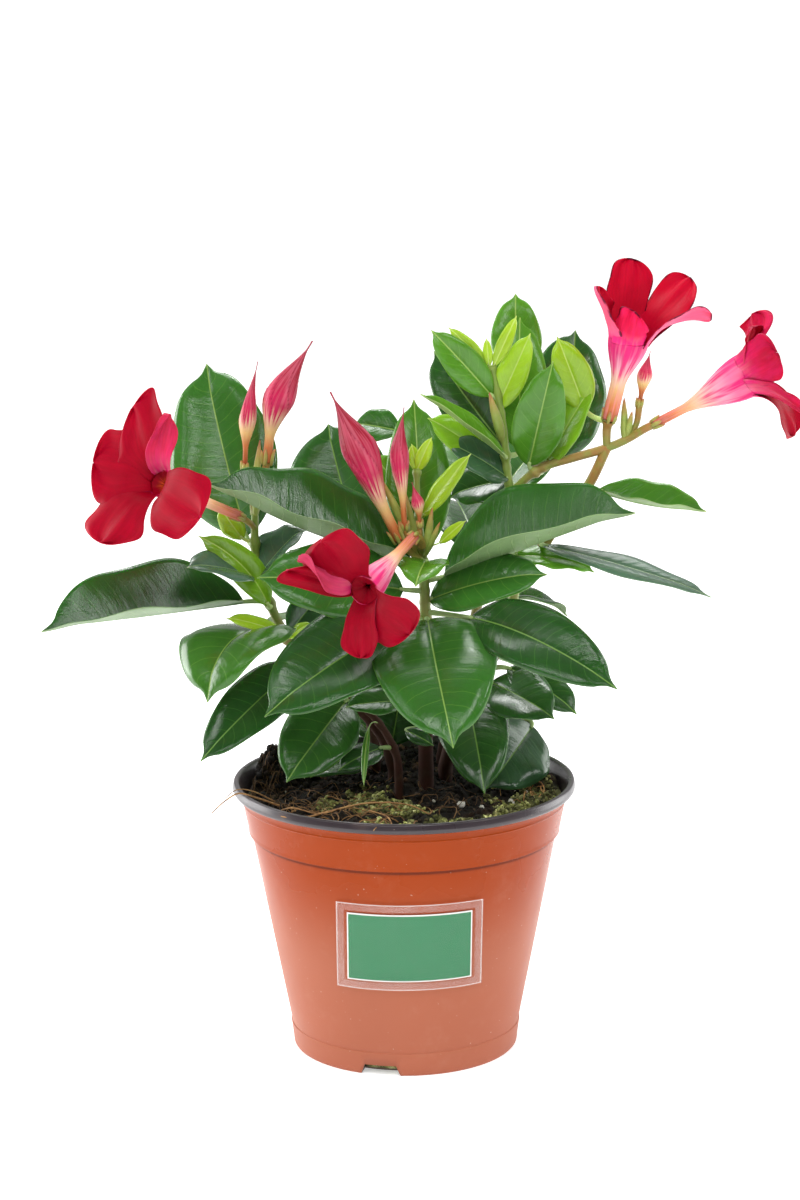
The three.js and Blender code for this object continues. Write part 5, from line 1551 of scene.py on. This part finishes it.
def portrait_camera(scene):
    """The camera: 1.3 m in front, a little above, looking down by 12 degrees."""
    camera = bpy.data.cameras.new("camera")
    camera.sensor_width, camera.lens = CAMERA["sensor"], CAMERA["lens"]
    viewer = bpy.data.objects.new("camera", camera)
    turn = (Matrix.Rotation(CAMERA["heading"], 4, "Z")
            @ Matrix.Rotation(math.pi / 2 - CAMERA["tilt"], 4, "X")
            @ Matrix.Rotation(CAMERA["roll"], 4, "Z"))
    viewer.matrix_world = Matrix.Translation(CAMERA["place"]) @ turn
    scene.collection.objects.link(viewer)
    return viewer


# ------------------------------------------------------------------ settings

COLOUR = {"subtype": "COLOR", "size": 3, "min": 0, "max": 1}
SHARE = {"subtype": "FACTOR", "min": 0, "max": 1}
LENGTH = {"subtype": "DISTANCE", "unit": "LENGTH"}


class PotSettings(bpy.types.PropertyGroup):
    """The pot's colours and roughness."""

    plastic: bpy.props.FloatVectorProperty(
        name="Plastic", description="Colour of the pot's outside", default=(0.31, 0.044, 0.0055), **COLOUR)
    lip: bpy.props.FloatVectorProperty(
        name="Lip", description="Colour of the lip and the inside", default=(0.026, 0.018, 0.022), **COLOUR)
    rough: bpy.props.FloatProperty(
        name="Roughness", description="Roughness of the outside", default=0.26, **SHARE)


class SoilSettings(bpy.types.PropertyGroup):
    """What lies on the soil."""

    crumbs: bpy.props.IntProperty(name="Crumbs", description="Number of loose crumbs", min=0, default=2300)
    moss: bpy.props.IntProperty(name="Moss", description="Number of moss tufts", min=0, default=3600)
    fibres: bpy.props.IntProperty(
        name="Fibres", description="Number of short root fibres", min=0, default=110)
    seed: bpy.props.IntProperty(name="Seed", description="Start of the random draws", default=7)


class LabelSettings(bpy.types.PropertyGroup):
    """The label's colour, border and film."""

    card: bpy.props.FloatVectorProperty(
        name="Card", description="Colour of the card", default=(0.035, 0.19, 0.085), **COLOUR)
    border: bpy.props.FloatProperty(
        name="Border", description="Width of the card's white border", default=LABEL["border"] * MM, **LENGTH)
    haze: bpy.props.FloatProperty(name="Haze", description="How much the film hides", default=0.1, **SHARE)


class LeafSettings(bpy.types.PropertyGroup):
    """The leaves' thickness, margins and draws."""

    thickness: bpy.props.FloatProperty(
        name="Thickness", description="Thickness of a blade", default=0.00042, **LENGTH)
    wave: bpy.props.FloatProperty(
        name="Wave", description="Height of the waves along a large leaf's margin", default=0.0012, **LENGTH)
    roll: bpy.props.FloatProperty(
        name="Roll", description="How far the margin rolls down, as a share of half the width", default=0.1,
        **SHARE)
    seed: bpy.props.IntProperty(name="Seed", description="Start of the random draws", default=11)


class BloomSettings(bpy.types.PropertyGroup):
    """The petals' thickness, ruffle and draws."""

    thickness: bpy.props.FloatProperty(
        name="Thickness", description="Thickness of a petal", default=0.00042, **LENGTH)
    ruffle: bpy.props.FloatProperty(
        name="Ruffle", description="Height of the ruffles towards a petal's edge", default=0.0012, **LENGTH)
    seed: bpy.props.IntProperty(name="Seed", description="Start of the random draws", default=5)


class StageSettings(bpy.types.PropertyGroup):
    """The floor and the lights."""

    floor: bpy.props.FloatVectorProperty(
        name="Floor", description="Colour of the floor", default=(0.9, 0.9, 0.9), **COLOUR)
    glow: bpy.props.FloatProperty(
        name="Floor glow", description="Light that the floor gives off", min=0, default=0.45)
    sky: bpy.props.FloatProperty(
        name="Sky", description="Strength of the white surroundings behind the plant", min=0, default=0.6)
    front_sky: bpy.props.FloatProperty(
        name="Front sky", description="Strength of the darker surroundings in front", min=0, default=0.06)
    key: bpy.props.FloatProperty(
        name="Key", description="Strength of the main light", min=0, default=1.6)
    soft: bpy.props.FloatProperty(
        name="Soft boxes", description="Power of a soft box whose share is 1", unit="POWER", min=0,
        default=9.0)


# ------------------------------------------------------------------ operators

class MANDEVILLA_OT_pot(bpy.types.Operator):
    """Build the pot"""

    bl_idname = "mandevilla.pot"
    bl_label = "Pot"

    def execute(self, context):
        look = context.scene.mandevilla_pot
        piece = Piece()
        pot_shape(piece)
        piece.build("nursery_pot", [
            plastic_finish("terracotta plastic", tuple(look.plastic), look.rough, 0.12),
            plastic_finish("dark plastic", tuple(look.lip), 0.3, 0.6)], "pot_plastic", ["pot"])
        return {"FINISHED"}


class MANDEVILLA_OT_soil(bpy.types.Operator):
    """Build the soil bed, its crumbs, moss, perlite and root fibres"""

    bl_idname = "mandevilla.soil"
    bl_label = "Soil"

    def execute(self, context):
        look = context.scene.mandevilla_soil
        rng = np.random.default_rng(look.seed)
        peat = soil_finish()
        bed = Piece()
        add_soil_bed(bed)
        bed.build("soil_bed", [peat], "soil", ["soil"])

        crumbs = Piece()
        x, y = inside_rim(rng, look.crumbs)
        sizes = rng.uniform(0.45, 1.0, look.crumbs) * rng.uniform(0.8, 1.9, look.crumbs)
        pale = np.where(rng.uniform(0, 1, look.crumbs) < 0.15, 5.0, 1.0)
        add_lumps(crumbs, on_soil(x, y, 0.0), sizes, rng, 0.35, moss=0.25 * mossy(x, y),
                  tone=pale * rng.uniform(0.6, 1.6, look.crumbs))
        for hx, hy, _, spread in HEAPS[:2]:
            x = hx + rng.normal(0, spread * 0.6, HEAP_CRUMBS)
            y = hy + rng.normal(0, spread * 0.6, HEAP_CRUMBS)
            pull = np.minimum(1, HEAP_REACH / np.hypot(x, y))
            add_lumps(crumbs, on_soil(x * pull, y * pull, -0.2), rng.uniform(0.7, 2.1, HEAP_CRUMBS), rng, 0.4,
                      moss=0.0, tone=rng.uniform(0.5, 1.6, HEAP_CRUMBS))
        crumbs.build("soil_crumbs", [peat], "soil")

        moss = Piece()
        x, y = inside_rim(rng, look.moss * 3)
        chosen = np.flatnonzero(rng.uniform(0, 1, len(x)) < mossy(x, y))[:look.moss]
        x, y = x[chosen], y[chosen]
        add_lumps(moss, on_soil(x, y, -0.6), rng.uniform(0.35, 1.15, len(x)), rng, 0.5,
                  moss=rng.uniform(0.6, 1.0, len(x)), tone=rng.uniform(0.7, 1.7, len(x)) ** 2)
        moss.build("soil_moss", [peat], "soil")

        chunks = Piece()
        x, y, sizes = np.array(PERLITE).T
        add_lumps(chunks, on_soil(x, y, -0.8), sizes, rng, 0.25)
        x, y = inside_rim(rng, 60)
        add_lumps(chunks, on_soil(x, y, -0.3), rng.uniform(0.25, 0.6, 60), rng, 0.3)
        chunks.build("soil_perlite", [perlite_finish()], "soil")

        fibres = Piece()
        for _ in range(look.fibres):
            x, y = rng.normal(-30, 26), rng.normal(-30, 22)
            add_fibre(fibres, rng, (x, y), rng.uniform(0, ROUND), rng.uniform(8, 30), rng.uniform(0.12, 0.32),
                      rng.uniform(0.4, 1.1), rng.uniform(0.5, 3.0))
        for x, y, wide, count, tone in TANGLES:
            for _ in range(count):
                start = rng.normal((x, y), wide)
                add_fibre(fibres, rng, start, rng.uniform(0, ROUND), rng.uniform(5, 16),
                          rng.uniform(0.12, 0.3), rng.uniform(0.6, 1.5), rng.uniform(1.0, 5.0), tone)
        for points, thick in LONG_FIBRES:
            path = stem_curve(points, 60)
            radius = thick * np.linspace(1, 0.45, 60)
            closed_tube(fibres, sweep(path, radius, 8), 0, tone=1.15)
        fibres.build("soil_fibres", [fibre_finish()], "soil")
        return {"FINISHED"}


class MANDEVILLA_OT_label(bpy.types.Operator):
    """Build the label: a plain card under clear film"""

    bl_idname = "mandevilla.label"
    bl_label = "Label"

    def execute(self, context):
        look = context.scene.mandevilla_label
        card, film = Piece(), Piece()
        add_label(card, *LABEL["card"], *LABEL["card_lift"], 0.0)
        add_label(film, *LABEL["film"], *LABEL["film_lift"], 0.12)
        card.build("label_plain_card", [card_finish(tuple(look.card), look.border / MM)], "label_card",
                   ["label_card"])
        film.build("label_clear_film", [film_finish(look.haze)], "label_film", ["label_film"])
        return {"FINISHED"}


class MANDEVILLA_OT_shoots(bpy.types.Operator):
    """Build every shoot's leaves and stems"""

    bl_idname = "mandevilla.shoots"
    bl_label = "Shoots"

    def execute(self, context):
        look = context.scene.mandevilla_leaves
        rng = np.random.default_rng(look.seed)
        upper, lower, bark, green = leaf_finish(True), leaf_finish(False), stem_finish(), sepal_finish()
        for name, rows in LEAVES.items():
            curves = shoot_curves(name)
            leaves, stems = Piece(), Piece()
            for row in rows:
                add_leaf(leaves, row, curves, rng, look)
            add_stems(stems, name)
            for row in YOUNG_BUDS.get(name, []):
                add_young_bud(stems, row)
            leaves.build(f"leaves_{name}", [upper, lower], "leaf", [f"shoot_{name}"])
            stems.build(f"stems_{name}", [bark, green], "leaf")
        return {"FINISHED"}


class MANDEVILLA_OT_buds(bpy.types.Operator):
    """Build the tall furled buds"""

    bl_idname = "mandevilla.buds"
    bl_label = "Buds"

    def execute(self, context):
        rng = np.random.default_rng(context.scene.mandevilla_blooms.seed)
        petals, green = bud_finish(), sepal_finish()
        for name, row in BUDS.items():
            piece = Piece()
            add_bud(piece, row)
            points, radius = np.array(row[0], float), row[1]
            add_sepals(piece, points[0], unit(points[1] - points[0]), 0.3 * radius, 0.9 * radius + 1.0, rng,
                       spread=0.16)
            piece.build(f"furled_{name}", [petals, green], "bud", [name])
        return {"FINISHED"}


class MANDEVILLA_OT_blooms(bpy.types.Operator):
    """Build the open blooms"""

    bl_idname = "mandevilla.blooms"
    bl_label = "Blooms"

    def execute(self, context):
        look = context.scene.mandevilla_blooms
        rng = np.random.default_rng(look.seed + 1)
        corolla, green = corolla_finish(), sepal_finish()
        for name, row in BLOOMS.items():
            piece = Piece()
            add_funnel(piece, row)
            for petal in row["petals"]:
                add_petal(piece, row, petal, rng, look)
            seat, _, frame_axes = bloom_frame(row)
            add_sepals(piece, seat, frame_axes[2], row["tube"] * 0.85, 5.0, rng, spread=0.2)
            piece.build(f"open_{name}", [corolla, green], "petal", [name])
        return {"FINISHED"}


class MANDEVILLA_OT_stage(bpy.types.Operator):
    """Set up the floor, the lights and the camera"""

    bl_idname = "mandevilla.stage"
    bl_label = "Stage"

    def execute(self, context):
        scene, look = context.scene, context.scene.mandevilla_stage
        scene.view_settings.view_transform = "Standard"
        floor = pale_floor(look)
        scene.collection.objects.link(floor)
        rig.stage(floor)
        scene.world = white_surroundings(look)
        key = bpy.data.lights.new("key", "SUN")
        key.energy, key.angle = look.key, math.radians(35)
        put_light(scene, key, KEY_PLACE).visible_glossy = False
        for name, place, size, share in SOFT_BOXES:
            box = bpy.data.lights.new(name, "AREA")
            box.energy, box.size = look.soft * share, size
            put_light(scene, box, place)
        scene.camera = portrait_camera(scene)
        return {"FINISHED"}


class MANDEVILLA_PT_panel(bpy.types.Panel):
    """Lists the plant's pieces and the sizes and colours that can be changed"""

    bl_label = "Mandevilla"
    bl_idname = "MANDEVILLA_PT_panel"
    bl_space_type = "VIEW_3D"
    bl_region_type = "UI"
    bl_category = "Mandevilla"

    def draw(self, context):
        for settings, operator in SECTIONS:
            box = self.layout.box()
            box.operator(operator)
            group = getattr(context.scene, settings, None)
            for key in group.bl_rna.properties.keys() if group else []:
                if key not in {"rna_type", "name"}:
                    box.prop(group, key)


SECTIONS = [
    ("mandevilla_pot", "mandevilla.pot"), ("mandevilla_soil", "mandevilla.soil"),
    ("mandevilla_label", "mandevilla.label"), ("mandevilla_leaves", "mandevilla.shoots"),
    ("mandevilla_blooms", "mandevilla.buds"), ("mandevilla_blooms", "mandevilla.blooms"),
    ("mandevilla_stage", "mandevilla.stage"),
]
SETTINGS = {
    "mandevilla_pot": PotSettings, "mandevilla_soil": SoilSettings, "mandevilla_label": LabelSettings,
    "mandevilla_leaves": LeafSettings, "mandevilla_blooms": BloomSettings,
    "mandevilla_stage": StageSettings,
}
CLASSES = [*SETTINGS.values(), MANDEVILLA_OT_pot, MANDEVILLA_OT_soil, MANDEVILLA_OT_label,
           MANDEVILLA_OT_shoots, MANDEVILLA_OT_buds, MANDEVILLA_OT_blooms, MANDEVILLA_OT_stage,
           MANDEVILLA_PT_panel]


def register():
    """Adds the classes, and the settings to the scene."""
    for item in CLASSES:
        bpy.utils.register_class(item)
    for name, group in SETTINGS.items():
        setattr(bpy.types.Scene, name, bpy.props.PointerProperty(type=group))


def unregister():
    """Takes the settings and the classes away again."""
    for name in SETTINGS:
        delattr(bpy.types.Scene, name)
    for item in reversed(CLASSES):
        bpy.utils.unregister_class(item)


def main():
    register()
    bpy.ops.mandevilla.stage()
    bpy.ops.mandevilla.pot()
    bpy.ops.mandevilla.soil()
    bpy.ops.mandevilla.label()
    bpy.ops.mandevilla.shoots()
    bpy.ops.mandevilla.buds()
    bpy.ops.mandevilla.blooms()
    visual_box = [list(corner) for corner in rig.bounds()]
    with open("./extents.json", "w") as file:
        json.dump({"cad": CAD_BOX, "visual": visual_box}, file)


if __name__ == "__main__":
    main()
